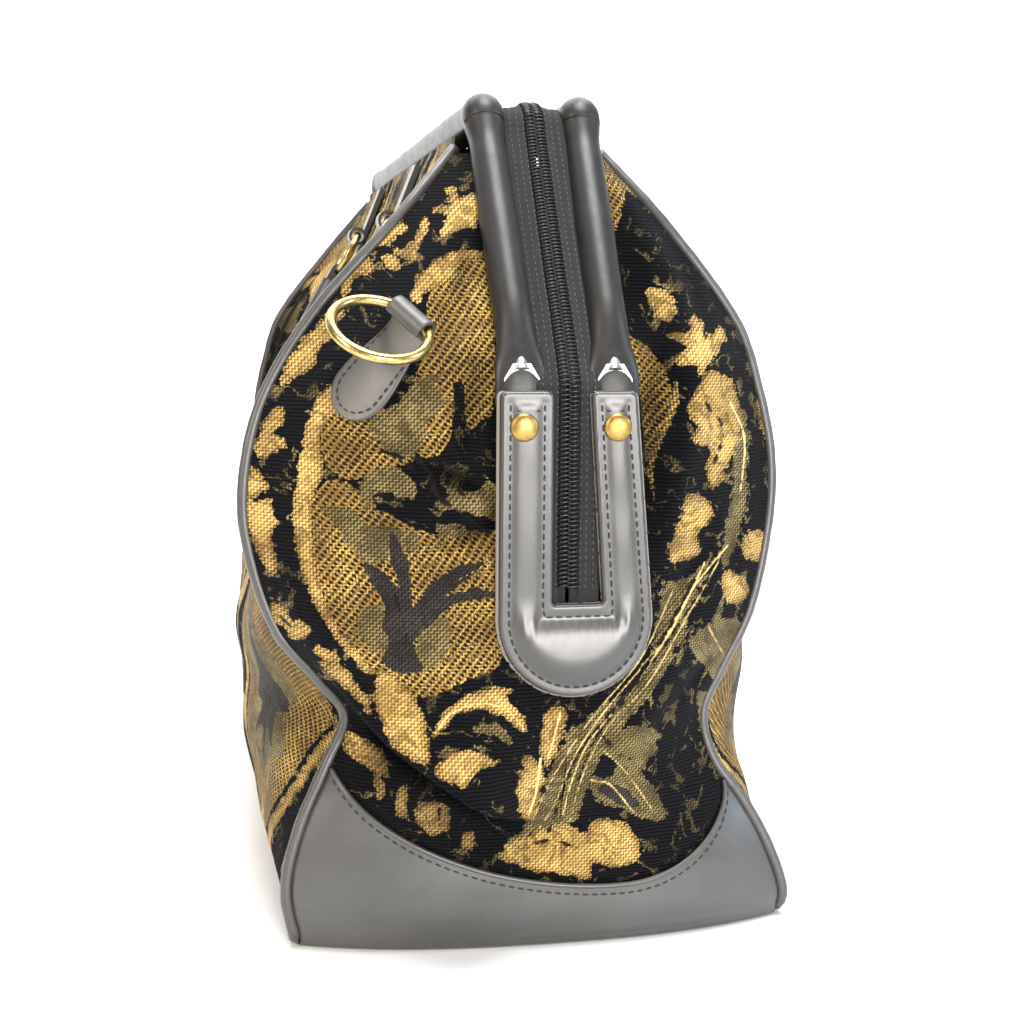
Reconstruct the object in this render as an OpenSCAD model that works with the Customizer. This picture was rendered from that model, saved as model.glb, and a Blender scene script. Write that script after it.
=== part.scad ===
// Carpet bag: a soft tapestry bag on a hinged two-bow frame, standing closed on its base.
// The length runs along Y, the near end faces -Y, and the far end is the near end turned half round.

/* [Base] */
// Width across the two bottom seams
base_w = 184; // [170:1:200]
// Length between the bottom corners
base_l = 396; // [340:1:440]
// How far the boot of each end swells past the bottom corners
end_swell = 19; // [14:1:21]
// Lowest point of the boot's top edge
boot_dip_z = 23; // [18:1:26]
// Rise of the boot's top edge towards the front seam
boot_rise_front = 42; // [34:1:46]
// Rise of the boot's top edge towards the back seam
boot_rise_back = 30; // [22:1:34]
// Thickness of the base board
board_t = 2.4; // [2:0.2:4]

/* [Soft ends] */
// Half width of the ear on the front side of the near end
ear_front = 106; // [98:1:110]
// Half width of the ear on the back side of the near end
ear_back = 89; // [84:1:98]
// Height of the widest part of the ears
ear_z = 160; // [154:1:166]
// Half width of the waist in the front seam
waist_front = 72; // [66:1:78]
// Half width of the waist in the back seam
waist_back = 62; // [58:1:68]
// Height of the waist
waist_z = 82; // [78:1:88]
// How far the fold under the near ear stands out
fold_out = 9; // [4:0.5:11]
// Widest half width of the sides at mid length
side_swell = 104; // [98:1:108]

/* [Cloth and leather] */
// Thickness of the tapestry
cloth_t = 2; // [1.4:0.1:2.4]
// Thickness of the boot's leatherette
boot_t = 1.6; // [1.2:0.1:2]
// Thickness of the lining
lining_t = 1; // [0.8:0.1:1.4]
// Diameter of the piping in the seams
piping_d = 4.4; // [3.6:0.2:5]
// Clearance between sewn pieces
seam_gap = 0.3; // [0.2:0.05:0.5]

/* [Frame] */
// Height of the rivets that the bows turn on
pivot_z = 188; // [184:1:192]
// Distance of each rivet from the middle plane
pivot_x = 16; // [15:0.5:18]
// Height of the bows' top bars
bar_z = 298; // [286:1:306]
// Distance of each top bar from the middle plane
bar_x = 18; // [17.5:0.5:21]
// Length of the top bars between their corners
bar_l = 320; // [280:1:340]
// Diameter of the steel rod in the bows
rod_d = 6; // [5:0.5:7]
// Diameter of the padded sleeve on the bows
sleeve_d = 14; // [12:0.5:14.5]
// Thickness of the rod's flattened ends
rod_end_t = 2.4; // [1.6:0.2:3]
// Diameter of the rivet caps
rivet_d = 9.8; // [8:0.2:11]
// Diameter of the rivet shanks
shank_d = 4; // [3:0.5:5]

/* [End tabs] */
// How far the inner face of the tabs stands past the bottom corners
tab_out = 32; // [30:1:34]
// Height of the tips of the tabs' arms
tab_top_z = 200; // [198:1:204]
// Height of the rounded lower edge of the tabs
tab_low_z = 96; // [90:1:104]
// Height of the bottom of the slot for the zip
slot_z = 128; // [122:1:134]
// Thickness of the outer leather of the tabs
face_t = 2; // [1.6:0.1:2.6]
// Thickness of the inner leather of the tabs
backing_t = 1.6; // [1.2:0.1:2]

/* [Zip] */
// Width of the closed coil chain
chain_w = 7.3; // [6:0.1:8]
// Thickness of the coil chain
chain_t = 2.4; // [2:0.1:2.8]
// Width of each half of the zip's tape
tape_w = 9.7; // [9:0.1:9.8]
// Thickness of the tape
tape_t = 0.8; // [0.6:0.1:1]
// Length of a slider
slider_l = 11; // [9:0.5:13]
// Length of a puller
puller_l = 27; // [20:1:34]

/* [Ring tabs] */
// Outer diameter of the brass rings
ring_d = 36; // [34:1:38]
// Diameter of the wire of the rings
ring_wire = 3.5; // [3:0.1:3.8]
// Length of the ring tabs below their loop
ring_tab_l = 40; // [34:1:44]
// Width of the ring tabs
ring_tab_w = 22; // [20:1:24]

/* [Handles] */
// Drop of the handles below their rings' loops
handle_drop = 74; // [68:1:78]
// Distance between the two ends of a handle
handle_w = 136; // [120:1:150]
// Diameter of the rolled grip
grip_d = 10; // [8:0.5:11]
// Outer diameter of the handle rings
handle_ring_d = 24; // [22:0.5:27]
// Width of the handle tabs
handle_tab_w = 14; // [12:1:18]

/* [Hidden] */
$fn = 48;

half_w = base_w / 2;
half_l = base_l / 2;
tab_y = half_l + tab_out;
foot_gap = 0.3;
zip_gap = 0.15;
rod_end_gap = tape_t + 2 * zip_gap;
cap_h = 2;
piping_r = piping_d / 2;
sleeve_r = sleeve_d / 2;
rod_r = rod_d / 2;
bar_y = bar_l / 2;
black = [0.1, 0.1, 0.11];
gold = [0.68, 0.54, 0.3];
pewter = [0.42, 0.4, 0.38];
brass = [0.72, 0.58, 0.27];

// A smooth curve through knots of [height, value]
function span_at(k, z, i = 0) = i >= len(k) - 2 || z < k[i + 1][0] ? i : span_at(k, z, i + 1);
function slope_at(k, i) =
    let(a = max(i - 1, 0), b = min(i + 1, len(k) - 1))
    (k[b][1] - k[a][1]) / (k[b][0] - k[a][0]);
function follow(k, z) =
    let(i = span_at(k, z), h = k[i + 1][0] - k[i][0])
    let(t = min(max((z - k[i][0]) / h, 0), 1))
    (2 * t * t * t - 3 * t * t + 1) * k[i][1]
    + (t * t * t - 2 * t * t + t) * h * slope_at(k, i)
    + (3 * t * t - 2 * t * t * t) * k[i + 1][1]
    + (t * t * t - t * t) * h * slope_at(k, i + 1);
function ease(a, b, v) = let(t = min(max((v - a) / (b - a), 0), 1)) t * t * (3 - 2 * t);
function mix(a, b, t) = a + (b - a) * t;
function eased(t) = mix(t, ease(0, 1, t), 0.5);

// The piped seam between the near end and the front side, as knots of height and place
seam_top_z = bar_z - 12;
seam_top_x = bar_x + sleeve_r + piping_r + seam_gap;
front_seam_x = [[0, 2 - half_w], [22, -half_w - 2], [waist_z - 38, 3 - half_w],
    [waist_z - 16, -waist_front - 7], [waist_z, -waist_front], [waist_z + 13, -waist_front - 9],
    [waist_z + 32, 10 - ear_front], [ear_z - 13, -ear_front], [ear_z + 10, -ear_front],
    [ear_z + 36, 7 - ear_front], [bar_z - 74, 24 - ear_front], [bar_z - 38, 56 - ear_front],
    [seam_top_z, -seam_top_x]];
front_seam_y = [[0, -half_l], [22, -half_l - 2], [waist_z - 16, 3 - half_l],
    [waist_z, 8 - half_l], [waist_z + 32, 8 - half_l], [ear_z, 13 - half_l],
    [ear_z + 36, 17 - half_l], [bar_z - 74, 20 - half_l], [bar_z - 38, 28 - half_l],
    [seam_top_z, 6 - bar_y]];

// The same seam on the back side of the near end
back_seam_x = [[0, half_w - 2], [10, half_w], [28, half_w - 6], [waist_z - 36, half_w - 16],
    [waist_z - 22, waist_back + 4], [waist_z - 4, waist_back], [waist_z + 12, waist_back + 7],
    [waist_z + 34, ear_back - 9], [ear_z - 10, ear_back - 1], [ear_z + 14, ear_back],
    [ear_z + 40, ear_back - 5], [bar_z - 74, ear_back - 13], [bar_z - 38, ear_back - 40],
    [seam_top_z, seam_top_x]];
back_seam_y = [[0, -half_l], [10, -half_l - 1], [waist_z - 36, 3 - half_l],
    [waist_z - 12, 8 - half_l], [waist_z + 34, 11 - half_l], [ear_z, 16 - half_l],
    [ear_z + 40, 20 - half_l], [bar_z - 74, 24 - half_l], [bar_z - 38, 30 - half_l],
    [seam_top_z, 6 - bar_y]];

// Middle line of the near end, from the swollen boot over the bulge to the tab's seat
middle_y = [[0, -half_l - end_swell + 6], [9, -half_l - end_swell],
    [boot_dip_z, -half_l - end_swell - 1.5], [boot_dip_z + 18, -half_l - end_swell - 1],
    [boot_dip_z + 30, -tab_y + 9], [boot_dip_z + 40, -tab_y + 4],
    [boot_dip_z + 54, -tab_y + 1.2], [tab_low_z, -tab_y + 0.4], [slot_z - 4, -tab_y + 1.4],
    [pivot_z - 28, -tab_y + 4.7], [pivot_z + 6, -tab_y + 5.2]];

// Half width of the sides at mid length
side_x = [[0, half_w - 1], [20, side_swell - 8], [50, side_swell - 3], [waist_z, side_swell],
    [waist_z + 24, side_swell - 1], [ear_z - 30, side_swell - 8], [ear_z, side_swell - 20],
    [ear_z + 30, side_swell - 34], [bar_z - 68, side_swell - 51], [bar_z - 28, bar_x + 17],
    [bar_z - 6, bar_x + sleeve_r + 1.6]];

function front_seam(z) = [follow(front_seam_x, z), follow(front_seam_y, z), z];
function back_seam(z) = [follow(back_seam_x, z), follow(back_seam_y, z), z];
function turned(p) = [-p[0], -p[1], p[2]];

// Outer face of the near end at a place between the seams
fold_rise = 14;
fold_slope = 0.66;
function fold_line(x) = waist_z + fold_rise - fold_slope * (x + waist_front + 8);
function fold_at(x, z, edge) =
    let(rise = z - fold_line(x))
    fold_out * ease(-2, 5, rise) * (1 - ease(8, 60, rise)) * (1 - ease(-32, 6, x)) * min(edge / 10, 1);
function end_plain(x, z) =
    let(a = front_seam(z), b = back_seam(z))
    let(t = min(max((x - a[0]) / (b[0] - a[0]), 0), 1))
    mix(a[1], b[1], t) + (follow(middle_y, z) - (a[1] + b[1]) / 2) * (1 - pow(abs(2 * t - 1), 2.6));
function end_y(x, z) = end_plain(x, z) - fold_at(x, z, max(x - front_seam(z)[0], 0));

// Outer face of the front side at a place between its near and far seams
function front_x(y, z) =
    let(a = front_seam(z), b = turned(back_seam(z)))
    let(t = min(max((y - a[1]) / (b[1] - a[1]), 0), 1))
    mix(a[0], b[0], t) - (follow(side_x, z) + (a[0] + b[0]) / 2) * (1 - pow(abs(2 * t - 1), 5));

// Top edge of the boot, between its corners at the two seams
dip_x = 16;
edge_x0 = -waist_front - 4;
edge_x1 = waist_back + 2;
function boot_edge(x) = boot_dip_z + (x < dip_x
    ? boot_rise_front * pow((dip_x - x) / (dip_x - edge_x0), 2)
    : boot_rise_back * pow((x - dip_x) / (edge_x1 - dip_x), 2));

// A closed skin between an outer and an inner grid of points
// and, where slit_row is given, with one column of it left out from that row up
module skin(outer, inner, slit_row = 1000, slit_col = -1) {
    rows = len(outer) - 1;
    cols = len(outer[0]) - 1;
    n = (rows + 1) * (cols + 1);
    function at(r, c) = r * (cols + 1) + c;
    function pair(a, b, c, d) = [[a, b, c], [a, c, d]];
    function left_out(r, c) = r >= slit_row && c == slit_col;
    function rising(r, c) = pair(at(r, c), at(r + 1, c), at(r + 1, c) + n, at(r, c) + n);
    function falling(r, c) = pair(at(r + 1, c), at(r, c), at(r, c) + n, at(r + 1, c) + n);
    out_faces = [for (r = [0 : rows - 1]) for (c = [0 : cols - 1]) if (!left_out(r, c))
        for (f = pair(at(r, c), at(r, c + 1), at(r + 1, c + 1), at(r + 1, c))) f];
    in_faces = [for (f = out_faces) [f[2] + n, f[1] + n, f[0] + n]];
    low = [for (c = [0 : cols - 1])
        for (f = pair(at(0, c + 1), at(0, c), at(0, c) + n, at(0, c + 1) + n)) f];
    high = [for (c = [0 : cols - 1]) let(r = left_out(rows - 1, c) ? slit_row : rows)
        for (f = pair(at(r, c), at(r, c + 1), at(r, c + 1) + n, at(r, c) + n)) f];
    sides = [for (r = [0 : rows - 1])
        for (f = concat(rising(r, 0), falling(r, cols),
            r < slit_row ? [] : concat(rising(r, slit_col + 1), falling(r, slit_col)))) f];
    polyhedron(concat([for (r = outer) for (p = r) p], [for (r = inner) for (p = r) p]),
        concat(out_faces, in_faces, low, high, sides), convexity = 6);
}

// A round cord swept along points, where side is a direction that the path never takes
function unit(v) = v / norm(v);
module sweep(path, r, count, side) {
    last = len(path) - 1;
    rings = [for (i = [0 : last])
        let(t = unit(path[min(i + 1, last)] - path[max(i - 1, 0)]))
        let(u = unit(cross(t, side)), v = cross(u, t))
        for (k = [0 : count - 1]) path[i] + r * (cos(k * 360 / count) * u + sin(k * 360 / count) * v)];
    walls = [for (i = [0 : last - 1]) for (k = [0 : count - 1])
        let(a = i * count + k, b = i * count + (k + 1) % count)
        for (f = [[a, b, b + count], [a, b + count, a + count]]) f];
    caps = [[for (k = [count - 1 : -1 : 0]) k], [for (k = [0 : count - 1]) last * count + k]];
    polyhedron(rings, concat(walls, caps), convexity = 6);
}

module far_end() {
    rotate([0, 0, 180]) children();
}

// Boot: one strip of leatherette up the near end, under the bag and up the far end
boot_cols = 16;
boot_rows = 5;
boot_bend = 5;
panel_in = piping_r + seam_gap;
function beside_seam(k, z) = panel_in * norm([1, (follow(k, z + 1) - follow(k, z - 1)) / 2]);
function end_x0(z) = front_seam(z)[0] + beside_seam(front_seam_x, z);
function end_x1(z) = back_seam(z)[0] - beside_seam(back_seam_x, z);
function boot_wall(t, s) =
    let(top = boot_edge(mix(edge_x0, edge_x1, t)), z = mix(top, boot_bend, s))
    let(x = mix(end_x0(z), end_x1(z), t))
    [x, end_y(x, z), z];
function boot_column(t) =
    let(foot = boot_wall(t, 1))
    concat([for (i = [0 : boot_rows]) boot_wall(t, i / boot_rows)],
        [[foot[0], foot[1] + 0.28 * boot_bend, 0.28 * boot_bend], [foot[0], foot[1] + boot_bend, 0]]);
function boot_inside(p, i) = p + [0, boot_t, i > boot_rows ? boot_t : 0];
module base_boot() {
    near = [for (c = [0 : boot_cols]) boot_column(c / boot_cols)];
    last = len(near[0]) - 1;
    near_in = [for (k = near) [for (i = [0 : last]) boot_inside(k[i], i)]];
    rows_out = [for (i = [0 : last]) [for (c = [0 : boot_cols]) near[c][i]]];
    rows_in = [for (i = [0 : last]) [for (c = [0 : boot_cols]) near_in[c][i]]];
    far_out = [for (i = [last : -1 : 0]) [for (c = [boot_cols : -1 : 0]) turned(near[c][i])]];
    far_in = [for (i = [last : -1 : 0]) [for (c = [boot_cols : -1 : 0]) turned(near_in[c][i])]];
    color(pewter) skin(concat(rows_out, far_out), concat(rows_in, far_in));
}

module base_board() {
    inset = 6;
    size = [base_w - 2 * inset - 2, base_l - 2 * inset];
    color("tan") translate([0, 0, boot_t + seam_gap]) linear_extrude(board_t) {
        square([size[0] - 20, size[1]], center = true);
        square([size[0], size[1] - 20], center = true);
        for (x = [-1, 1]) for (y = [-1, 1])
            translate([x * (size[0] / 2 - 10), y * (size[1] / 2 - 10)]) circle(10);
    }
}

// Lining: an open tray of thin cloth that follows the walls inside
lining_top_z = 150;
lining_levels = [0, 24, 46, waist_z - 18, waist_z - 2, waist_z + 14, waist_z + 36, lining_top_z];
lining_floor = boot_t + board_t + 2 * seam_gap;
lining_side = 9;
lining_end = 7;
lining_corner = 6;
function lining_ring(z, g) =
    let(a = front_seam(z), b = back_seam(z), in = cloth_t + piping_d + g)
    let(xa = a[0] + in, xb = b[0] - in, ya = a[1] + in, yb = -b[1] - in)
    let(half = concat(
        [for (i = [0 : lining_side])
            let(y = mix(yb - lining_corner, ya + lining_corner, eased(i / lining_side)))
            [front_x(y, z) + cloth_t + g, y, z]],
        [[xa, ya, z]],
        [for (i = [0 : lining_end]) let(x = mix(xa + lining_corner, xb - lining_corner, i / lining_end))
            [x, end_plain(x, z) + cloth_t + g, z]],
        [[xb, -yb, z]]))
    concat(half, [for (p = half) turned(p)]);
module lining() {
    gap = 2;
    levels = [for (z = lining_levels) max(z, lining_floor)];
    outer = [for (z = levels) lining_ring(z, gap)];
    inner = [for (i = [len(levels) - 1 : -1 : 0])
        [for (p = lining_ring(levels[i], gap + lining_t)) [p[0], p[1], max(p[2], lining_floor + lining_t)]]];
    rings = concat(outer, inner);
    count = len(outer[0]);
    last = len(rings) - 1;
    walls = [for (i = [0 : last - 1]) for (k = [0 : count - 1])
        let(a = i * count + k, b = i * count + (k + 1) % count)
        for (f = [[a, b, b + count], [a, b + count, a + count]]) f];
    caps = [[for (k = [count - 1 : -1 : 0]) k], [for (k = [0 : count - 1]) last * count + k]];
    color([0.16, 0.15, 0.15]) polyhedron([for (r = rings) for (p = r) p], concat(walls, caps), convexity = 8);
}

// Sides of the bag, from the bottom seam up to the bows
side_cols = 13;
side_top_z = bar_z - 8;
seam_rows = 27;
seam_foot_z = 10;
pipe_low = piping_r + 0.2;
pipe_turn = [[1.4, 6], [4.5, 3.4], [11, pipe_low]];
seam_levels = [for (i = [0 : seam_rows]) mix(seam_foot_z, seam_top_z, i / seam_rows)];
function slant(x_knots, y_knots, z) =
    let(x = follow(x_knots, z + 1) - follow(x_knots, z - 1))
    let(y = follow(y_knots, z + 1) - follow(y_knots, z - 1))
    panel_in * norm([x, y, 2]) / norm([x, 2]);
module front_panel() {
    levels = concat([piping_d + 2 * seam_gap], seam_levels, [side_top_z]);
    grid = [for (z = levels)
        let(y0 = front_seam(z)[1] + slant(front_seam_x, front_seam_y, z))
        let(y1 = -back_seam(z)[1] - slant(back_seam_x, back_seam_y, z))
        let(in = z < seam_foot_z ? pipe_turn[2][0] - pipe_turn[0][0] : 0)
        [for (c = [0 : side_cols])
            let(y = mix(y0 + in, y1 - in, eased(c / side_cols))) [front_x(y, z), y, z]]];
    color(gold) skin(grid, [for (r = grid) [for (p = r) p + [cloth_t, 0, 0]]]);
}
module back_panel() {
    far_end() front_panel();
}

// Leg of a bow, leaning back from its rivet to the corner of the top bar
leg_low_z = tab_top_z + 6;
leg_low_y = -tab_y + rod_end_gap + rod_end_t / 2;
function up_leg(z) = max(z - leg_low_z, 0) / (bar_z - leg_low_z);
function leg_y(z) = mix(leg_low_y, -bar_y, up_leg(z));
function leg_x(z) = mix(pivot_x, bar_x, up_leg(z));

// Tapestry of the ends, one piece from the boot up to the bows, with a slit for the zip
wing_cols = 9;
low_rows = 11;
high_rows = 12;
binding_r = 1.3;
slit_x = 9;
slit_z = slot_z - 2;
wing_top_z = seam_top_z - 4;
free_z = slot_z + 14;
leg_gap = 1.2;
belly_front = 14;
belly_back = 10;
pocket_in = 20;
function wing_x(z) =
    mix(slit_x, leg_x(z) + sleeve_r + leg_gap, ease(pivot_z - 14, pivot_z + 10, z));
function wing_y(seam, x, z, t, belly) =
    let(swell = belly * (1 - pow(2 * t - 1, 2)) * (1 - ease(ear_z + 30, seam_top_z, z)))
    let(up = mix(seam[1] + 0.6, max(leg_y(z), -tab_y + 6) + 2, t) - swell)
    mix(end_y(x, min(z, pivot_z)), up, ease(free_z, pivot_z + 24, z));
function front_wing(t, z) =
    let(x = mix(end_x0(z), -wing_x(z), t)) [x, wing_y(front_seam(z), x, z, t, belly_front), z];
function pocket(t, z) = pocket_in * ease(0.35, 1, t) * ease(ear_z, pivot_z + 20, z)
    * (1 - ease(pivot_z + 40, seam_top_z, z));
function back_wing(t, z) =
    let(x = mix(end_x1(z), wing_x(z), t))
    [x, wing_y(back_seam(z), x, z, t, belly_back) + pocket(t, z), z];
panel_lift = 2 * binding_r + 3 * seam_gap;
function panel_low(side, t, z) =
    let(x0 = end_x0(z), x1 = end_x1(z), x = mix(side < 0 ? x0 : x1, side * slit_x, t))
    boot_edge(mix(edge_x0, edge_x1, (x - x0) / (x1 - x0))) + panel_lift;
function low_level(side, t) =
    let(first = boot_edge(mix(side < 0 ? edge_x0 : edge_x1, side * slit_x, t)) + panel_lift)
    panel_low(side, t, panel_low(side, t, first));
function end_row(row) =
    let(s = row / low_rows, up = (row - low_rows) / high_rows)
    concat([for (c = [0 : wing_cols]) let(t = c / wing_cols)
            back_wing(t, row <= low_rows ? mix(low_level(1, t), slit_z, s)
                : mix(slit_z, wing_top_z, up))],
        [for (c = [wing_cols : -1 : 0]) let(t = c / wing_cols)
            front_wing(t, row <= low_rows ? mix(low_level(-1, t), slit_z, s)
                : mix(slit_z, wing_top_z, up))]);
module near_end_panel() {
    grid = [for (r = [0 : low_rows + high_rows]) end_row(r)];
    color(gold) skin(grid, [for (r = grid) [for (p = r) p + [0, cloth_t, 0]]], low_rows, wing_cols);
}
module far_end_panel() {
    far_end() near_end_panel();
}

// Folded binding along the boot's top edge
module near_boot_binding() {
    path = [for (c = [0 : 24]) let(t = c / 24)
        let(z = boot_edge(mix(edge_x0, edge_x1, t)) + binding_r + seam_gap)
        let(x = mix(end_x0(z) + 0.6, end_x1(z) - 0.6, t))
        [x, end_y(x, z) + 0.4, z]];
    color(pewter) sweep(path, binding_r, 6, [0, 1, 0]);
}
module far_boot_binding() {
    far_end() near_boot_binding();
}

// Piping: up the near seam, along the bottom and up the far seam of one side
module front_piping() {
    near = [for (i = [seam_rows : -1 : 0]) front_seam(seam_levels[i])];
    far = [for (z = seam_levels) turned(back_seam(z))];
    low_x = 1 - half_w;
    path = concat(near, [for (p = pipe_turn) [low_x, near[seam_rows][1] + p[0], p[1]]],
        [for (y = [-half_l / 2 : half_l / 2 : half_l / 2]) [low_x, y, pipe_low]],
        [for (i = [2 : -1 : 0]) [low_x, far[0][1] - pipe_turn[i][0], pipe_turn[i][1]]], far);
    color(pewter) sweep(path, piping_r, 8, [1, 0, 0]);
}
module back_piping() {
    far_end() front_piping();
}

// U-shaped end tab, a little lopsided, with a slot for the zip
arm_in_front = 5.6;
arm_in_back = 7;
slot_in_back = 11.8;
tab_out_top = 24;
tab_out_back = 29.4;
corner_r = 2;
module tab_outline(grow = 0) {
    low_r = (tab_out_top + tab_out_back) / 2 + grow;
    low_x = (tab_out_back - tab_out_top) / 2;
    difference() {
        union() {
            translate([low_x, tab_low_z + low_r]) circle(low_r, $fn = 96);
            polygon([[-tab_out_top - grow, tab_top_z - corner_r], [-tab_out_top - grow, tab_low_z + low_r],
                [low_x + low_r, tab_low_z + low_r], [tab_out_top - 1 + grow, tab_top_z - corner_r]]);
            for (a = [[-tab_out_top - grow, -arm_in_front], [arm_in_back, tab_out_top - 1 + grow]]) {
                translate([a[0] + corner_r, tab_top_z - 2 * corner_r])
                    square([a[1] - a[0] - 2 * corner_r, 2 * corner_r]);
                for (x = [a[0] + corner_r, a[1] - corner_r])
                    translate([x, tab_top_z - corner_r]) circle(corner_r);
            }
        }
        polygon([[-arm_in_front, slot_z], [slot_in_back, slot_z],
            [arm_in_back, tab_top_z + 1], [-arm_in_front, tab_top_z + 1]]);
        for (x = [-pivot_x, pivot_x]) translate([x, pivot_z]) circle(shank_d / 2 + 0.05);
    }
}
module upright(y, t) {
    translate([0, y, 0]) rotate([90, 0, 0]) linear_extrude(t) children();
}
module near_tab_face() {
    color(pewter) upright(-tab_y - backing_t, face_t) tab_outline();
}
module far_tab_face() {
    far_end() near_tab_face();
}
module near_tab_backing() {
    color(pewter) upright(-tab_y, backing_t) tab_outline(0.8);
}
module far_tab_backing() {
    far_end() near_tab_backing();
}

// Rivets: domed cap outside, shank through tab and rod end, flat foot inside
module near_rivets() {
    stack = face_t + backing_t + rod_end_gap + rod_end_t + foot_gap;
    dome_r = (pow(rivet_d / 2, 2) + pow(cap_h, 2)) / (2 * cap_h);
    color(brass) for (x = [-pivot_x, pivot_x]) translate([x, -tab_y - face_t - backing_t, pivot_z])
        rotate([90, 0, 0]) {
            intersection() {
                translate([0, 0, cap_h - dome_r]) sphere(dome_r, $fn = 64);
                cylinder(h = cap_h + 1, d = rivet_d);
            }
            translate([0, 0, -stack]) cylinder(h = stack + 0.5, d = shank_d);
            translate([0, 0, -stack - 1]) cylinder(h = 1, d = rivet_d - 2);
        }
}
module far_rivets() {
    far_end() near_rivets();
}

// Bow: a steel rod bent round the mouth, its ends flattened and pierced for the rivets
module bar_from(a, b, r) {
    d = b - a;
    translate(a) rotate([0, acos(d[2] / norm(d)), atan2(d[1], d[0])]) cylinder(h = norm(d), r = r);
}
rod_foot = [-pivot_x, leg_low_y, leg_low_z];
rod_corner = [-bar_x, -bar_y, bar_z];
module rod_run(r) {
    for (side = [-1, 1]) {
        low = [rod_foot[0], -side * rod_foot[1], rod_foot[2]];
        top = [rod_corner[0], -side * rod_corner[1], rod_corner[2]];
        bar_from(low, top, r);
        translate(top) sphere(1.05 * r);
    }
    bar_from(rod_corner, [rod_corner[0], -rod_corner[1], rod_corner[2]], r);
}
module front_rod() {
    eye_r = rod_d;
    color("silver") {
        rod_run(rod_r);
        for (side = [-1, 1]) {
            translate([-pivot_x, -side * leg_low_y + rod_end_t / 2, 0]) rotate([90, 0, 0])
                linear_extrude(rod_end_t) difference() {
                    union() {
                        translate([0, pivot_z]) circle(eye_r);
                        translate([-eye_r, pivot_z]) square([2 * eye_r, leg_low_z - pivot_z - 2]);
                        polygon([[-eye_r, leg_low_z - 2], [eye_r, leg_low_z - 2], [rod_r, leg_low_z + 3],
                            [-rod_r, leg_low_z + 3]]);
                    }
                    translate([0, pivot_z]) circle(shank_d / 2 + 0.1);
                }
        }
    }
}
module back_rod() {
    far_end() front_rod();
}

// Padded sleeve sewn over the rod, tapered where it runs in behind the tab
rod_clear = 0.15;
module sleeve_run(r) {
    for (side = [-1, 1]) {
        low = [rod_foot[0], -side * rod_foot[1], rod_foot[2]];
        top = [rod_corner[0], -side * rod_corner[1], rod_corner[2]];
        start = low + (top - low) * 0.16;
        bar_from(start, top, r);
        translate(top) sphere(1.08 * r);
    }
    bar_from(rod_corner, [rod_corner[0], -rod_corner[1], rod_corner[2]], r);
}
module front_sleeve() {
    color(pewter) difference() {
        union() {
            sleeve_run(sleeve_r);
            for (side = [-1, 1]) {
                low = [rod_foot[0], -side * rod_foot[1], rod_foot[2]];
                top = [rod_corner[0], -side * rod_corner[1], rod_corner[2]];
                d = top - low;
                translate(low + d * 0.04) rotate([0, acos(d[2] / norm(d)), atan2(d[1], d[0])])
                    cylinder(h = norm(d) * 0.13, r1 = rod_r + 1.2, r2 = sleeve_r);
            }
        }
        rod_run(rod_r + rod_clear);
    }
}
module back_sleeve() {
    far_end() front_sleeve();
}

// Zip: it climbs each end from the slot, leans back between the legs and runs along the top
zip_top_z = bar_z + 3;
zip_face_y = tab_y - zip_gap;
module zip_line(low_z, t_out, t_in) {
    near = [[-zip_face_y, low_z], [-zip_face_y, tab_top_z - 6], [-zip_face_y + 1, tab_top_z + 4],
        [-bar_y - 8, bar_z - 8], [-bar_y - 3.5, bar_z - 0.5], [-bar_y + 3, zip_top_z]];
    dir = [[-1, 0], [-1, 0.05], [-1, 0.3], [-0.85, 0.55], [-0.6, 0.8], [0, 1]];
    outer = [for (i = [0 : 5]) near[i] + t_out * dir[i] / norm(dir[i])];
    inner = [for (i = [0 : 5]) near[i] - t_in * dir[i] / norm(dir[i])];
    polygon(concat(outer, [for (i = [5 : -1 : 0]) [-outer[i][0], outer[i][1]]],
        [for (i = [0 : 5]) [-inner[i][0], inner[i][1]]], [for (i = [5 : -1 : 0]) inner[i]]));
}
module along_zip(from, to) {
    translate([from, 0, 0]) rotate([90, 0, 90]) linear_extrude(to - from) children();
}
head_gap = 5;
tape_in = 0.9;
module front_zip_tape() {
    color(black) difference() {
        along_zip(-tape_w, -tape_in) zip_line(slot_z - 6, 0, tape_t);
        for (side = [-1, 1]) bar_from([rod_foot[0], -side * rod_foot[1], rod_foot[2]],
            [rod_corner[0], -side * rod_corner[1], rod_corner[2]], sleeve_r + seam_gap);
    }
}
module back_zip_tape() {
    far_end() front_zip_tape();
}
post_x = 1.2;
module front_zip_coil() {
    color(black) difference() {
        along_zip(-chain_w / 2, -0.05) zip_line(slot_z + 0.5, chain_t + 0.05, -0.05);
        translate([0, 0, zip_top_z + chain_t / 2])
            cube([2 * post_x + 0.8, head_gap + slider_l + 2, 2 * chain_t], center = true);
    }
}
module back_zip_coil() {
    far_end() front_zip_coil();
}

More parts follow.
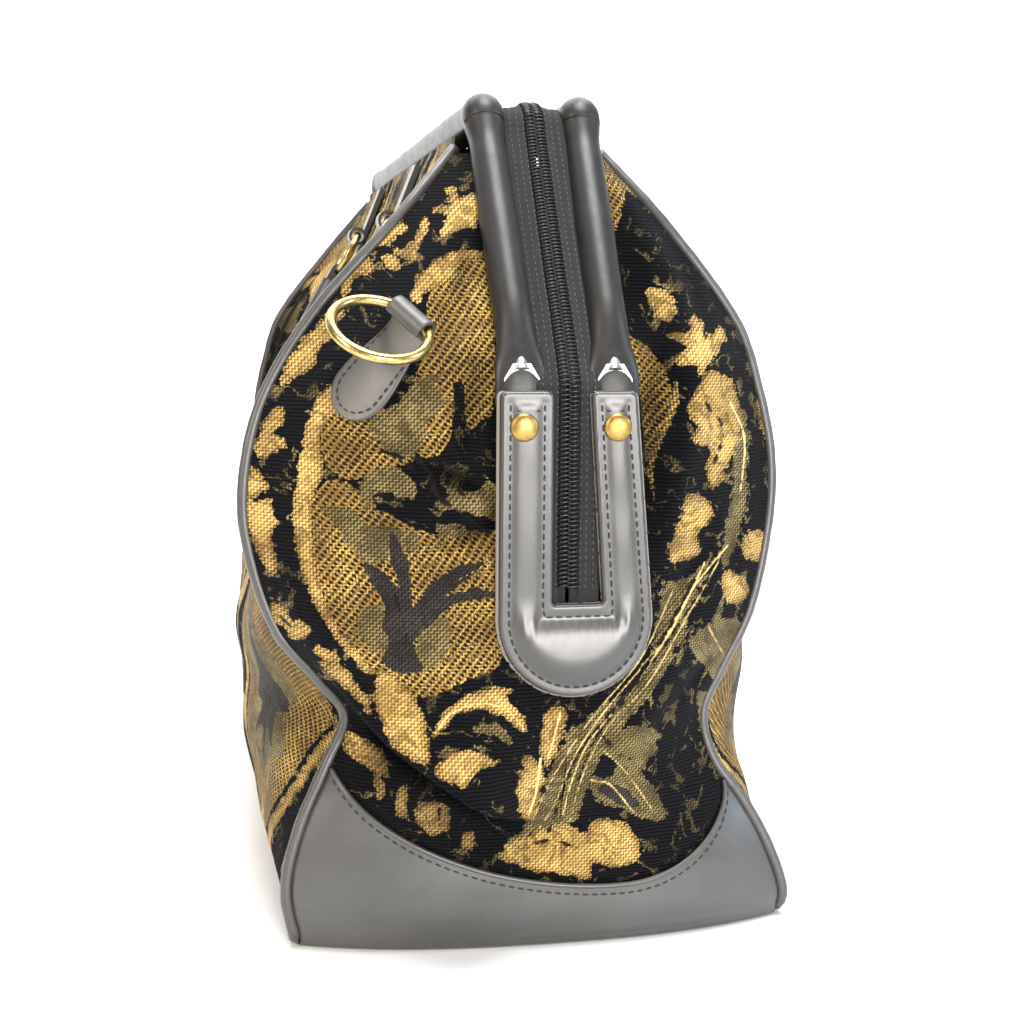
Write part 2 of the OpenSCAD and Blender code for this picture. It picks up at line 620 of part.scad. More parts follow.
// Sliders meet at the middle of the top; each runs out towards its own end
slider_w = chain_w + 3.4;
plate_t = 1.2;
slide_gap = 0.35;
module near_slider() {
    low = -tape_t - slide_gap;
    high = chain_t + 0.05 + slide_gap;
    color("dimgray") translate([0, -head_gap / 2 - slider_l / 2, zip_top_z]) {
        translate([-slider_w / 2, -slider_l / 2, high]) cube([slider_w, slider_l, plate_t]);
        translate([-slider_w / 2, -slider_l / 2, low - plate_t]) cube([slider_w, slider_l, plate_t]);
        translate([-post_x / 2, 0.5, low - plate_t])
            cube([post_x, slider_l / 2 - 1.6, high - low + 2 * plate_t]);
        for (side = [-1, 1]) translate([side * (slider_w / 2 - 0.5) - 0.5, -slider_l / 2, tape_t])
            cube([1, slider_l, high - tape_t + 0.2]);
        difference() {
            translate([-1.5, -slider_l / 2 + 2, high + plate_t - 0.2]) cube([3, slider_l - 4, 4]);
            translate([-2, 0, high + plate_t + 1.6]) rotate([0, 90, 0]) cylinder(h = 4, r = 1.3);
        }
    }
}
module far_slider() {
    far_end() near_slider();
}
pin_z = zip_top_z + chain_t + 0.05 + slide_gap + plate_t + 1.6;
module near_puller() {
    wall = 1.6;
    gap = 0.4;
    color("dimgray") translate([0, -head_gap / 2 - slider_l / 2, pin_z]) {
        rotate([0, 90, 0]) translate([0, 0, -3]) cylinder(h = 6, r = 1);
        for (side = [-1, 1]) translate([side * (1.5 + gap + wall / 2) - wall / 2, -10, -1])
            cube([wall, 11, 2]);
        translate([0, 0, -1]) linear_extrude(2) difference() {
            union() {
                translate([-3.5, -puller_l + 3.5]) square([7, puller_l - 10]);
                translate([0, -puller_l + 3.5]) circle(3.5);
            }
            translate([-1.9, -9.2]) square([3.8, 10]);
            translate([0, -puller_l + 4]) circle(1.6);
        }
    }
}
module far_puller() {
    far_end() near_puller();
}

// Ring tab on the near end's front gusset: a leather leaf with a loop that holds the ring
ring_mean = (ring_d - ring_wire) / 2;
loop_l = 16;
loop_in = 3.1;
loop_wall = 1.2;
ring_sink = (ring_mean - sqrt(ring_mean * ring_mean - loop_l * loop_l / 4)) / 2;
leaf_t = 2.4;
loop_r = loop_in + loop_wall;
ring_tab_z = bar_z - 72;
ring_tab_t = 0.46;
tab_roll = 36;
tab_mid = front_wing(ring_tab_t, ring_tab_z - ring_tab_l / 2);
tab_up = unit(front_wing(ring_tab_t, ring_tab_z) - front_wing(ring_tab_t, ring_tab_z - ring_tab_l));
tab_across = front_wing(ring_tab_t + 0.2, tab_mid[2]) - front_wing(ring_tab_t - 0.2, tab_mid[2]);
tab_in = unit(cross(tab_up, tab_across));
tab_right = cross(tab_in, tab_up);
tab_stand = 0.2;
tab_tilt = 1.9;
tab_seat = tab_mid - tab_in * (loop_r + tab_stand);
module place_ring_tab() {
    multmatrix([for (i = [0 : 2]) [tab_right[i], tab_in[i], tab_up[i], tab_seat[i]]])
        rotate([0, tab_roll, 0]) translate([0, 0, -ring_tab_l / 2])
            rotate([tab_tilt, 0, 0]) translate([0, 0, ring_tab_l]) children();
}
module leaf(l, w, neck, t) {
    rotate([90, 0, 0]) translate([0, 0, -t / 2]) linear_extrude(t) {
        translate([0, -l + w / 2]) circle(w / 2, $fn = 64);
        polygon([[-neck / 2, 0], [neck / 2, 0], [w / 2, -l + w / 2 + 2], [w / 2, -l + w / 2],
            [-w / 2, -l + w / 2], [-w / 2, -l + w / 2 + 2]]);
    }
}
module loop_tab(loop, l, w) {
    difference() {
        union() {
            rotate([0, 90, 0]) translate([0, 0, -loop / 2]) cylinder(h = loop, r = loop_r);
            translate([0, loop_r - leaf_t / 2, 0]) leaf(l, w, loop, leaf_t);
        }
        rotate([0, 90, 0]) translate([0, 0, -loop]) cylinder(h = 2 * loop, r = loop_in);
    }
}
module near_ring_tab() {
    color(pewter) place_ring_tab() loop_tab(loop_l, ring_tab_l, ring_tab_w);
}
module far_ring_tab() {
    far_end() near_ring_tab();
}
ring_lift = 52;
module ring_of(mean, wire) {
    rotate_extrude($fn = 64) translate([mean, 0]) circle(d = wire, $fn = 24);
}
module near_ring() {
    color(brass) place_ring_tab() rotate([-ring_lift, 0, 0]) translate([0, 0, ring_sink - ring_mean])
        rotate([90, 0, 0]) ring_of(ring_mean, ring_wire);
}
module far_ring() {
    far_end() near_ring();
}

// Handles hang on the front and back from rings in tabs sewn under the top bars
handle_tab_l = 26;
handle_tab_t = 2.4;
handle_loop_l = 10;
handle_z = bar_z - 34;
handle_seat = 0.6;
handle_tab_lean = atan((follow(side_x, handle_z) - follow(side_x, handle_z + handle_tab_l)) / handle_tab_l);
handle_lean = handle_tab_lean + 7;
handle_x = -follow(side_x, handle_z) - (loop_r + handle_seat) / cos(handle_tab_lean);
handle_at = [handle_x, 0, handle_z];
h_ring_mean = (handle_ring_d - ring_wire) / 2;
h_ring_sink = (h_ring_mean - sqrt(h_ring_mean * h_ring_mean - handle_loop_l * handle_loop_l / 4)) / 2;
module place_handle(lean) {
    translate(handle_at) rotate([0, lean, 0]) rotate([0, 0, -90]) children();
}
module hung_tab() {
    difference() {
        union() {
            rotate([0, 90, 0]) translate([0, 0, -handle_loop_l / 2]) cylinder(h = handle_loop_l, r = loop_r);
            rotate([90, 0, 0]) translate([0, 0, -loop_r]) linear_extrude(handle_tab_t)
                polygon([[-handle_loop_l / 2, 0], [handle_loop_l / 2, 0], [handle_tab_w / 2, 2 * loop_r],
                    [handle_tab_w / 2, handle_tab_l], [-handle_tab_w / 2, handle_tab_l],
                    [-handle_tab_w / 2, 2 * loop_r]]);
        }
        rotate([0, 90, 0]) translate([0, 0, -handle_loop_l]) cylinder(h = 2 * handle_loop_l, r = loop_in);
    }
}
module front_handle_tabs() {
    color(pewter) place_handle(handle_tab_lean) for (side = [-1, 1])
        translate([side * handle_w / 2, 0, 0]) hung_tab();
}
module back_handle_tabs() {
    far_end() front_handle_tabs();
}
module front_handle_rings() {
    color(brass) place_handle(handle_lean) for (side = [-1, 1])
        translate([side * handle_w / 2, 0, h_ring_sink - h_ring_mean])
            rotate([90, 0, 0]) ring_of(h_ring_mean, ring_wire);
}
module back_handle_rings() {
    far_end() front_handle_rings();
}

// Rolled grip: two short legs and a straight grip with round bends between them
bend_r = 30;
eye_in = ring_wire / 2 + 0.3;
module front_handle() {
    half = handle_w / 2;
    ring_low = -2 * h_ring_mean + h_ring_sink;
    leg_top = ring_low - 6;
    color(pewter) place_handle(handle_lean) {
        for (side = [-1, 1]) {
            translate([side * half, 0, -handle_drop + bend_r])
                cylinder(h = leg_top + handle_drop - bend_r, d = grip_d);
            translate([side * (half - bend_r), 0, -handle_drop + bend_r])
                rotate([90, 0, 0]) rotate([0, 0, side > 0 ? -90 : 180])
                    rotate_extrude(angle = 90) translate([bend_r, 0]) circle(d = grip_d);
            difference() {
                union() {
                    translate([side * half, 0, ring_low]) rotate([0, 90, 0])
                        translate([0, 0, -4]) cylinder(h = 8, r = eye_in + 1.6);
                    translate([side * half - 4, -eye_in - 1.6, leg_top - 1])
                        cube([8, 2 * eye_in + 3.2, ring_low - leg_top + 1]);
                }
                translate([side * half, 0, ring_low]) rotate([0, 90, 0])
                    translate([0, 0, -5]) cylinder(h = 10, r = eye_in);
                translate([side * half, 0, ring_low + h_ring_mean]) rotate([90, 0, 0])
                    ring_of(h_ring_mean, ring_wire + 0.6);
            }
        }
        translate([-half + bend_r, 0, -handle_drop]) rotate([0, 90, 0])
            cylinder(h = handle_w - 2 * bend_r, d = grip_d);
    }
}
module back_handle() {
    far_end() front_handle();
}

base_boot();
base_board();
lining();
front_panel();
back_panel();
near_end_panel();
far_end_panel();
front_piping();
back_piping();
near_boot_binding();
far_boot_binding();
near_tab_face();
far_tab_face();
near_tab_backing();
far_tab_backing();
near_rivets();
far_rivets();
front_rod();
back_rod();
front_sleeve();
back_sleeve();
front_zip_tape();
back_zip_tape();
front_zip_coil();
back_zip_coil();
near_slider();
far_slider();
near_puller();
far_puller();
near_ring_tab();
far_ring_tab();
near_ring();
far_ring();
front_handle_tabs();
back_handle_tabs();
front_handle_rings();
back_handle_rings();
front_handle();
back_handle();
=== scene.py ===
import math
import bpy
import numpy as np
from mathutils import Matrix, Vector


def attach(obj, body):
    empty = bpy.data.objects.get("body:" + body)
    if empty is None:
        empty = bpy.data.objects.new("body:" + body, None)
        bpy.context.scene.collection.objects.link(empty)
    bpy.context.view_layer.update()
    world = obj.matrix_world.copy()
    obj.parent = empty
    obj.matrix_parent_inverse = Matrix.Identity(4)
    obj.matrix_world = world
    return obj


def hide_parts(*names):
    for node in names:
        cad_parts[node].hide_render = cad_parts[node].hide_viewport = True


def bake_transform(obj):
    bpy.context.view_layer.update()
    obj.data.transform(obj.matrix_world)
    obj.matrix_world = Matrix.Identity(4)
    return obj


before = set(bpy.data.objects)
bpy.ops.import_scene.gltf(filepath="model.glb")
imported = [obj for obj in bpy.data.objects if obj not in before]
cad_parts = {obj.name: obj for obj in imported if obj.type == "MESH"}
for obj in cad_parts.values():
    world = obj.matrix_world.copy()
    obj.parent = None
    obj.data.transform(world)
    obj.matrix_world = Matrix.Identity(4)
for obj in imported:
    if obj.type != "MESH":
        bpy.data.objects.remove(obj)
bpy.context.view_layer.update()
MM = 0.001


# ---------------------------------------------------------------- camera
YAW, ELEVATION, ROLL = -12.124, 7.29, 0.608
CAMERA_PLACE = (-0.12084, -0.76248, 0.22359)
LENS, SHIFT_X, SHIFT_Y = 57.19, -0.03638, 0.0153
# the same lens and shift in units of the picture, which is 1024 wide
PICTURE_LENS, PICTURE_X, PICTURE_Y = 1626.6, 549.25, 527.67


def make_camera():
    yaw, elevation, roll = (math.radians(a) for a in (YAW, ELEVATION, ROLL))
    look = Vector((-math.sin(yaw) * math.cos(elevation), math.cos(yaw) * math.cos(elevation), -math.sin(elevation)))
    right = look.cross(Vector((0, 0, 1))).normalized()
    up = right.cross(look)
    r = right * math.cos(roll) + up * math.sin(roll)
    u = -right * math.sin(roll) + up * math.cos(roll)
    data = bpy.data.cameras.new("camera")
    data.sensor_fit, data.sensor_width, data.lens = "HORIZONTAL", 36.0, LENS
    data.shift_x, data.shift_y = SHIFT_X, SHIFT_Y
    data.clip_start, data.clip_end = 0.05, 50
    cam = bpy.data.objects.new("camera", data)
    m = Matrix((r, u, -look)).transposed().to_4x4()
    m.translation = Vector(CAMERA_PLACE)
    cam.matrix_world = m
    bpy.context.scene.collection.objects.link(cam)
    bpy.context.scene.camera = cam
    return m


CAMERA = make_camera()
CAM_RIGHT, CAM_UP, CAM_LOOK = (np.array(CAMERA.col[i][:3]) * s for i, s in ((0, 1), (1, 1), (2, -1)))
CAM_AT = np.array(CAMERA.translation) * 1000


def picture_place(p):
    """Where points of the near end, in mm, lie in the picture: the tapestry's motifs are laid out in these units."""
    d = p - CAM_AT
    z = d @ CAM_LOOK
    return PICTURE_X + PICTURE_LENS * (d @ CAM_RIGHT) / z, PICTURE_Y - PICTURE_LENS * (d @ CAM_UP) / z


# ---------------------------------------------------------------- the bag's profile curves, in mm, as in the CAD
def follow(knots, z):
    k = np.array(knots, float)
    z = np.asarray(z, float)
    n = len(k)
    slope = np.array([(k[min(i + 1, n - 1), 1] - k[max(i - 1, 0), 1]) / (k[min(i + 1, n - 1), 0] - k[max(i - 1, 0), 0])
                      for i in range(n)])
    i = np.clip(np.searchsorted(k[:, 0], z, side="right") - 1, 0, n - 2)
    h = k[i + 1, 0] - k[i, 0]
    t = np.clip((z - k[i, 0]) / h, 0, 1)
    return ((2 * t ** 3 - 3 * t ** 2 + 1) * k[i, 1] + (t ** 3 - 2 * t ** 2 + t) * h * slope[i]
            + (3 * t ** 2 - 2 * t ** 3) * k[i + 1, 1] + (t ** 3 - t ** 2) * h * slope[i + 1])


def ease(a, b, v):
    t = np.clip((np.asarray(v, float) - a) / (b - a), 0, 1)
    return t * t * (3 - 2 * t)


def mix(a, b, t):
    return a + (b - a) * t


HALF_W, HALF_L, WAIST_F, WAIST_B, WAIST_Z, EAR_F, EAR_B, EAR_Z = 92, 198, 72, 62, 82, 106, 89, 160
BAR_X, BAR_Z, BAR_Y, SLEEVE_R, PIPE_R, GAP = 18, 298, 160, 7, 2.2, 0.3
PIVOT_X, PIVOT_Z, TAB_Y, TAB_TOP, TAB_LOW, SLOT_Z = 16, 188, 230, 200, 96, 128
TOP_Z = BAR_Z - 12
TOP_X = BAR_X + SLEEVE_R + PIPE_R + GAP
DIP_Z = 23
FRONT_X = [[0, 2 - HALF_W], [22, -HALF_W - 2], [WAIST_Z - 38, 3 - HALF_W], [WAIST_Z - 16, -WAIST_F - 7],
           [WAIST_Z, -WAIST_F], [WAIST_Z + 13, -WAIST_F - 9], [WAIST_Z + 32, 10 - EAR_F], [EAR_Z - 13, -EAR_F],
           [EAR_Z + 10, -EAR_F], [EAR_Z + 36, 7 - EAR_F], [BAR_Z - 74, 24 - EAR_F], [BAR_Z - 38, 56 - EAR_F],
           [TOP_Z, -TOP_X]]
FRONT_Y = [[0, -HALF_L], [22, -HALF_L - 2], [WAIST_Z - 16, 3 - HALF_L], [WAIST_Z, 8 - HALF_L],
           [WAIST_Z + 32, 8 - HALF_L], [EAR_Z, 13 - HALF_L], [EAR_Z + 36, 17 - HALF_L], [BAR_Z - 74, 20 - HALF_L],
           [BAR_Z - 38, 28 - HALF_L], [TOP_Z, 6 - BAR_Y]]
BACK_X = [[0, HALF_W - 2], [10, HALF_W], [28, HALF_W - 6], [WAIST_Z - 36, HALF_W - 16], [WAIST_Z - 22, WAIST_B + 4],
          [WAIST_Z - 4, WAIST_B], [WAIST_Z + 12, WAIST_B + 7], [WAIST_Z + 34, EAR_B - 9], [EAR_Z - 10, EAR_B - 1],
          [EAR_Z + 14, EAR_B], [EAR_Z + 40, EAR_B - 5], [BAR_Z - 74, EAR_B - 13], [BAR_Z - 38, EAR_B - 40],
          [TOP_Z, TOP_X]]
BACK_Y = [[0, -HALF_L], [10, -HALF_L - 1], [WAIST_Z - 36, 3 - HALF_L], [WAIST_Z - 12, 8 - HALF_L],
          [WAIST_Z + 34, 11 - HALF_L], [EAR_Z, 16 - HALF_L], [EAR_Z + 40, 20 - HALF_L], [BAR_Z - 74, 24 - HALF_L],
          [BAR_Z - 38, 30 - HALF_L], [TOP_Z, 6 - BAR_Y]]
MIDDLE_Y = [[0, -HALF_L - 13], [9, -HALF_L - 19], [DIP_Z, -HALF_L - 20.5], [DIP_Z + 18, -HALF_L - 20],
            [DIP_Z + 30, 9 - TAB_Y], [DIP_Z + 40, 4 - TAB_Y], [DIP_Z + 54, 1.2 - TAB_Y], [TAB_LOW, 0.4 - TAB_Y],
            [SLOT_Z - 4, 1.4 - TAB_Y], [PIVOT_Z - 28, 4.7 - TAB_Y], [PIVOT_Z + 6, 5.2 - TAB_Y]]
SIDE_X = [[0, HALF_W - 1], [20, 96], [50, 101], [WAIST_Z, 104], [WAIST_Z + 24, 103], [EAR_Z - 30, 96], [EAR_Z, 84],
          [EAR_Z + 30, 70], [BAR_Z - 68, 53], [BAR_Z - 28, BAR_X + 17], [BAR_Z - 6, BAR_X + SLEEVE_R + 1.6]]
LEG_Z, LEG_Y = TAB_TOP + 6, -TAB_Y + 1.1 + 1.2


def front_seam(z):
    return np.stack([follow(FRONT_X, z), follow(FRONT_Y, z), np.asarray(z, float)], -1)


def back_seam(z):
    return np.stack([follow(BACK_X, z), follow(BACK_Y, z), np.asarray(z, float)], -1)


def turned(p):
    return p * np.array([-1, -1, 1])


def end_y(x, z):
    a, b = front_seam(z), back_seam(z)
    t = np.clip((x - a[..., 0]) / (b[..., 0] - a[..., 0]), 0, 1)
    plain = mix(a[..., 1], b[..., 1], t) + (follow(MIDDLE_Y, z) - (a[..., 1] + b[..., 1]) / 2) \
        * (1 - np.abs(2 * t - 1) ** 2.6)
    rise = fold_rise(x, z)
    edge = np.clip((x - a[..., 0]) / 10, 0, 1)
    return plain - 9 * ease(-2, 5, rise) * (1 - ease(8, 60, rise)) * (1 - ease(-32, 6, x)) * edge


def front_x(y, z):
    a, b = front_seam(z), turned(back_seam(z))
    t = np.clip((y - a[..., 1]) / (b[..., 1] - a[..., 1]), 0, 1)
    return mix(a[..., 0], b[..., 0], t) - (follow(SIDE_X, z) + (a[..., 0] + b[..., 0]) / 2) \
        * (1 - np.abs(2 * t - 1) ** 5)


def boot_edge(x):
    return DIP_Z + np.where(x < 16, 42 * ((16 - x) / 92) ** 2, 30 * ((x - 16) / 48) ** 2)


def leg_y(z):
    return mix(LEG_Y, -BAR_Y, np.maximum(z - LEG_Z, 0) / (BAR_Z - LEG_Z))


def leg_x(z):
    return mix(PIVOT_X, BAR_X, np.maximum(z - LEG_Z, 0) / (BAR_Z - LEG_Z))


def wing_x(z, reach):
    return mix(9, leg_x(z) + SLEEVE_R + reach, ease(PIVOT_Z - 14, PIVOT_Z + 10, z))


def wing(side, t, z, reach=1.2):
    """The end's cloth from its seam, t = 0, to the slit or reach mm beside the bow's leg, t = 1.

    side is -1 at the front and 1 at the back.
    """
    seam = front_seam(z) if side < 0 else back_seam(z)
    inner = mix(1.0, side * wing_x(z, reach), ease(114, 130, z))
    x = mix(seam[..., 0], inner, t)
    belly = 14 if side < 0 else 10
    swell = belly * (1 - (2 * t - 1) ** 2) * (1 - ease(EAR_Z + 30, TOP_Z, z))
    up = mix(seam[..., 1] + 0.6, np.maximum(leg_y(z), -TAB_Y + 6) + 2, t) - swell
    y = mix(end_y(x, np.minimum(z, PIVOT_Z)), up, ease(SLOT_Z + 14, PIVOT_Z + 24, z))
    if side > 0:
        y = y + 20 * ease(0.35, 1, t) * ease(EAR_Z, PIVOT_Z + 20, z) * (1 - ease(PIVOT_Z + 40, TOP_Z, z))
    return np.stack([x, y, z], -1)


# ---------------------------------------------------------------- mesh helpers
def new_object(name, verts, faces, smooth=True):
    mesh = bpy.data.meshes.new(name)
    mesh.from_pydata([tuple(v) for v in np.asarray(verts, float)], [], [tuple(int(i) for i in f) for f in faces])
    mesh.validate()
    ob = bpy.data.objects.new(name, mesh)
    bpy.context.scene.collection.objects.link(ob)
    if smooth:
        mesh.polygons.foreach_set("use_smooth", [True] * len(mesh.polygons))
    mesh.update()
    return ob


def grid_faces(rows, cols, wrap=False, start=0):
    r, c = np.meshgrid(np.arange(rows - 1), np.arange(cols if wrap else cols - 1), indexing="ij")
    a = start + r * cols + c
    b = start + r * cols + (c + 1) % cols
    return np.stack([a, b, b + cols, a + cols], -1).reshape(-1, 4)


def set_uv(ob, uv):
    layer = ob.data.uv_layers.new(name="cloth")
    loops = np.zeros(len(ob.data.loops), np.int64)
    ob.data.loops.foreach_get("vertex_index", loops)
    layer.data.foreach_set("uv", uv[loops].astype(np.float32).ravel())


def set_attribute(ob, name, values):
    kind = "FLOAT" if values.ndim == 1 else "FLOAT_COLOR"
    at = ob.data.attributes.new(name, kind, "POINT")
    at.data.foreach_set("value" if values.ndim == 1 else "color", values.astype(np.float32).ravel())


def sheet_mesh(name, points, flip=False):
    """A sheet from a grid of points in mm, returned with the arc lengths in mm along its rows and columns."""
    rows, cols = points.shape[:2]
    faces = grid_faces(rows, cols)
    if flip:
        faces = faces[:, ::-1]
    ob = new_object(name, points.reshape(-1, 3) * MM, faces)
    du = np.linalg.norm(np.diff(points, axis=1), axis=2)
    dv = np.linalg.norm(np.diff(points, axis=0), axis=2)
    u = np.concatenate([np.zeros((rows, 1)), np.cumsum(du, 1)], 1)
    v = np.concatenate([np.zeros((1, cols)), np.cumsum(dv, 0)], 0)
    return ob, u, v


def tube(path, radius, count=12, side=(1, 0, 0)):
    """Rings of a round cord along a path in mm: returns vertices and faces. radius is a number or one per point."""
    path = np.asarray(path, float)
    n = len(path)
    t = np.gradient(path, axis=0)
    t /= np.linalg.norm(t, axis=1)[:, None]
    u = np.cross(t, np.array(side, float))
    u /= np.linalg.norm(u, axis=1)[:, None]
    v = np.cross(u, t)
    a = np.linspace(0, 2 * np.pi, count, endpoint=False)
    radius = np.broadcast_to(np.asarray(radius, float), (n,))[:, None, None]
    ring = np.cos(a)[None, :, None] * u[:, None] + np.sin(a)[None, :, None] * v[:, None]
    verts = (path[:, None] + radius * ring).reshape(-1, 3)
    faces = [tuple(f) for f in grid_faces(n, count, wrap=True)]
    faces.append(tuple(range(count - 1, -1, -1)))
    faces.append(tuple((n - 1) * count + k for k in range(count)))
    return verts, faces


def joined(parts):
    """Several (vertices, faces) as one."""
    verts, faces, at = [], [], 0
    for v, f in parts:
        verts.append(np.asarray(v, float))
        faces += [tuple(i + at for i in q) for q in f]
        at += len(v)
    return np.concatenate(verts), faces


def even_path(points, step):
    """The polyline with points every step mm."""
    p = np.asarray(points, float)
    d = np.concatenate([[0], np.cumsum(np.linalg.norm(np.diff(p, axis=0), axis=1))])
    n = max(int(round(d[-1] / step)), 1)
    s = np.linspace(0, d[-1], n + 1)
    return np.stack([np.interp(s, d, p[:, k]) for k in range(3)], -1)


def smooth_path(points, n=200):
    """A smooth curve through points, by chord length, with n points."""
    p = np.asarray(points, float)
    d = np.concatenate([[0], np.cumsum(np.linalg.norm(np.diff(p, axis=0), axis=1))])
    s = np.linspace(0, d[-1], n)
    return np.stack([follow(np.stack([d, p[:, k]], -1), s) for k in range(3)], -1)


def add_half_turn(ob, name):
    """A copy of the piece turned half round about the bag's upright axis."""
    copy = ob.copy()
    copy.data = ob.data.copy()
    copy.name = name
    copy.data.transform(Matrix.Rotation(math.pi, 4, "Z"))
    bpy.context.scene.collection.objects.link(copy)
    return copy


# ---------------------------------------------------------------- shader groups
class Group:
    """A shader node group with named inputs and outputs."""

    def __init__(self, name, inputs, outputs):
        self.tree = bpy.data.node_groups.new(name, "ShaderNodeTree")
        for n, kind, value in inputs:
            s = self.tree.interface.new_socket(n, in_out="INPUT", socket_type="NodeSocket" + kind)
            if value is not None:
                s.default_value = value
        for n, kind in outputs:
            self.tree.interface.new_socket(n, in_out="OUTPUT", socket_type="NodeSocket" + kind)
        self.inp = self.tree.nodes.new("NodeGroupInput")
        self.out = self.tree.nodes.new("NodeGroupOutput")

    def give(self, name, socket):
        self.tree.links.new(socket, self.out.inputs[name])


def plug(tree, socket, value):
    if isinstance(value, bpy.types.NodeSocket):
        tree.links.new(value, socket)
    elif value is not None:
        socket.default_value = value


def math_node(tree, op, a, b=None, c=None, clamp=False):
    n = tree.nodes.new("ShaderNodeMath")
    n.operation, n.use_clamp = op, clamp
    for s, v in zip(n.inputs, (a, b, c)):
        plug(tree, s, v)
    return n.outputs[0]


def times(tree, a, b, clamp=False):
    return math_node(tree, "MULTIPLY", a, b, clamp=clamp)


def mul_add(tree, a, b, c):
    return math_node(tree, "MULTIPLY_ADD", a, b, c)


def plus(tree, a, b):
    return math_node(tree, "ADD", a, b)


def minus(tree, a, b):
    return math_node(tree, "SUBTRACT", a, b)


def larger(tree, a, b):
    return math_node(tree, "MAXIMUM", a, b)


def mix_color(tree, fac, a, b, blend="MIX"):
    n = tree.nodes.new("ShaderNodeMix")
    n.data_type, n.blend_type = "RGBA", blend
    plug(tree, n.inputs[0], fac)
    plug(tree, n.inputs[6], a)
    plug(tree, n.inputs[7], b)
    return n.outputs[2]


def map_range(tree, value, a, b, c=0.0, d=1.0, smooth=False):
    n = tree.nodes.new("ShaderNodeMapRange")
    n.interpolation_type = "SMOOTHSTEP" if smooth else "LINEAR"
    for s, v in zip(n.inputs, (value, a, b, c, d)):
        plug(tree, s, v)
    return n.outputs[0]


def noise(tree, vector, scale, detail=2.0, rough=0.5):
    n = tree.nodes.new("ShaderNodeTexNoise")
    plug(tree, n.inputs["Vector"], vector)
    n.inputs["Scale"].default_value = scale
    n.inputs["Detail"].default_value = detail
    n.inputs["Roughness"].default_value = rough
    return n.outputs[0]


def wave(tree, coordinate, period, phase=0.0):
    """A sine from 0 to 1 along one coordinate in mm."""
    s = mul_add(tree, coordinate, 2 * math.pi / period, phase)
    return mul_add(tree, math_node(tree, "SINE", s), 0.5, 0.5)


def object_mm(tree):
    co = tree.nodes.new("ShaderNodeTexCoord")
    v = tree.nodes.new("ShaderNodeVectorMath")
    v.operation = "SCALE"
    tree.links.new(co.outputs["Object"], v.inputs[0])
    v.inputs["Scale"].default_value = 1000.0
    return v.outputs[0]


def bump(tree, height, distance, strength=1.0, normal=None):
    n = tree.nodes.new("ShaderNodeBump")
    n.inputs["Strength"].default_value = strength
    n.inputs["Distance"].default_value = distance
    tree.links.new(height, n.inputs["Height"])
    if normal is not None:
        tree.links.new(normal, n.inputs["Normal"])
    return n.outputs[0]


def make_grain_group():
    g = Group("leather_grain", [("Vector", "Vector", None), ("Pore size", "Float", 1.0), ("Wear", "Float", 0.0),
                                ("Dark", "Color", (0.05, 0.05, 0.05, 1)), ("Light", "Color", (0.2, 0.2, 0.2, 1))],
              [("Color", "Color"), ("Roughness", "Float"), ("Height", "Float")])
    t, i = g.tree, g.inp.outputs
    scaled = t.nodes.new("ShaderNodeVectorMath")
    scaled.operation = "SCALE"
    plug(t, scaled.inputs[0], i["Vector"])
    plug(t, scaled.inputs["Scale"], i["Pore size"])
    cells = t.nodes.new("ShaderNodeTexVoronoi")
    cells.feature = "DISTANCE_TO_EDGE"
    cells.inputs["Scale"].default_value = 1.15
    plug(t, cells.inputs["Vector"], scaled.outputs[0])
    crease = map_range(t, cells.outputs[0], 0.0, 0.16, 0.0, 1.0, True)
    fine = noise(t, scaled.outputs[0], 2.6, 3.0, 0.6)
    broad = noise(t, i["Vector"], 0.035, 3.0, 0.55)
    scuff = noise(t, i["Vector"], 0.35, 4.0, 0.62)
    tone = mul_add(t, broad, 0.9, mul_add(t, fine, 0.25, -0.1))
    tone = plus(t, tone, times(t, i["Wear"], map_range(t, scuff, 0.45, 0.7, 0, 0.7)))
    g.give("Color", mix_color(t, times(t, tone, 1.0, clamp=True), i["Dark"], i["Light"]))
    g.give("Roughness", plus(t, map_range(t, scuff, 0.3, 0.75, 0.36, 0.52), times(t, fine, 0.06)))
    g.give("Height", plus(t, times(t, crease, 0.6), times(t, fine, 0.5)))
    return g.tree


def make_weave_group():
    """Height and tone of woven cloth from arc-length coordinates in mm."""
    g = Group("woven_cloth", [("U", "Float", 0.0), ("V", "Float", 0.0), ("Pitch", "Float", 1.0)],
              [("Height", "Float"), ("Tone", "Float")])
    t, i = g.tree, g.inp.outputs
    ku = math_node(t, "DIVIDE", i["U"], i["Pitch"])
    kv = math_node(t, "DIVIDE", i["V"], i["Pitch"])
    over = times(t, math_node(t, "SINE", times(t, ku, math.pi)), math_node(t, "SINE", times(t, kv, math.pi)))
    weft = wave(t, kv, 1.0)
    warp = wave(t, ku, 1.0)
    side = math_node(t, "GREATER_THAN", over, 0.0)
    h = plus(t, times(t, side, weft), times(t, minus(t, 1.0, side), warp))
    g.give("Height", h)
    g.give("Tone", h)
    return g.tree


GRAIN = make_grain_group()
WEAVE = make_weave_group()


def new_material(name):
    m = bpy.data.materials.new(name)
    m.use_nodes = True
    t = m.node_tree
    return m, t, t.nodes["Principled BSDF"]


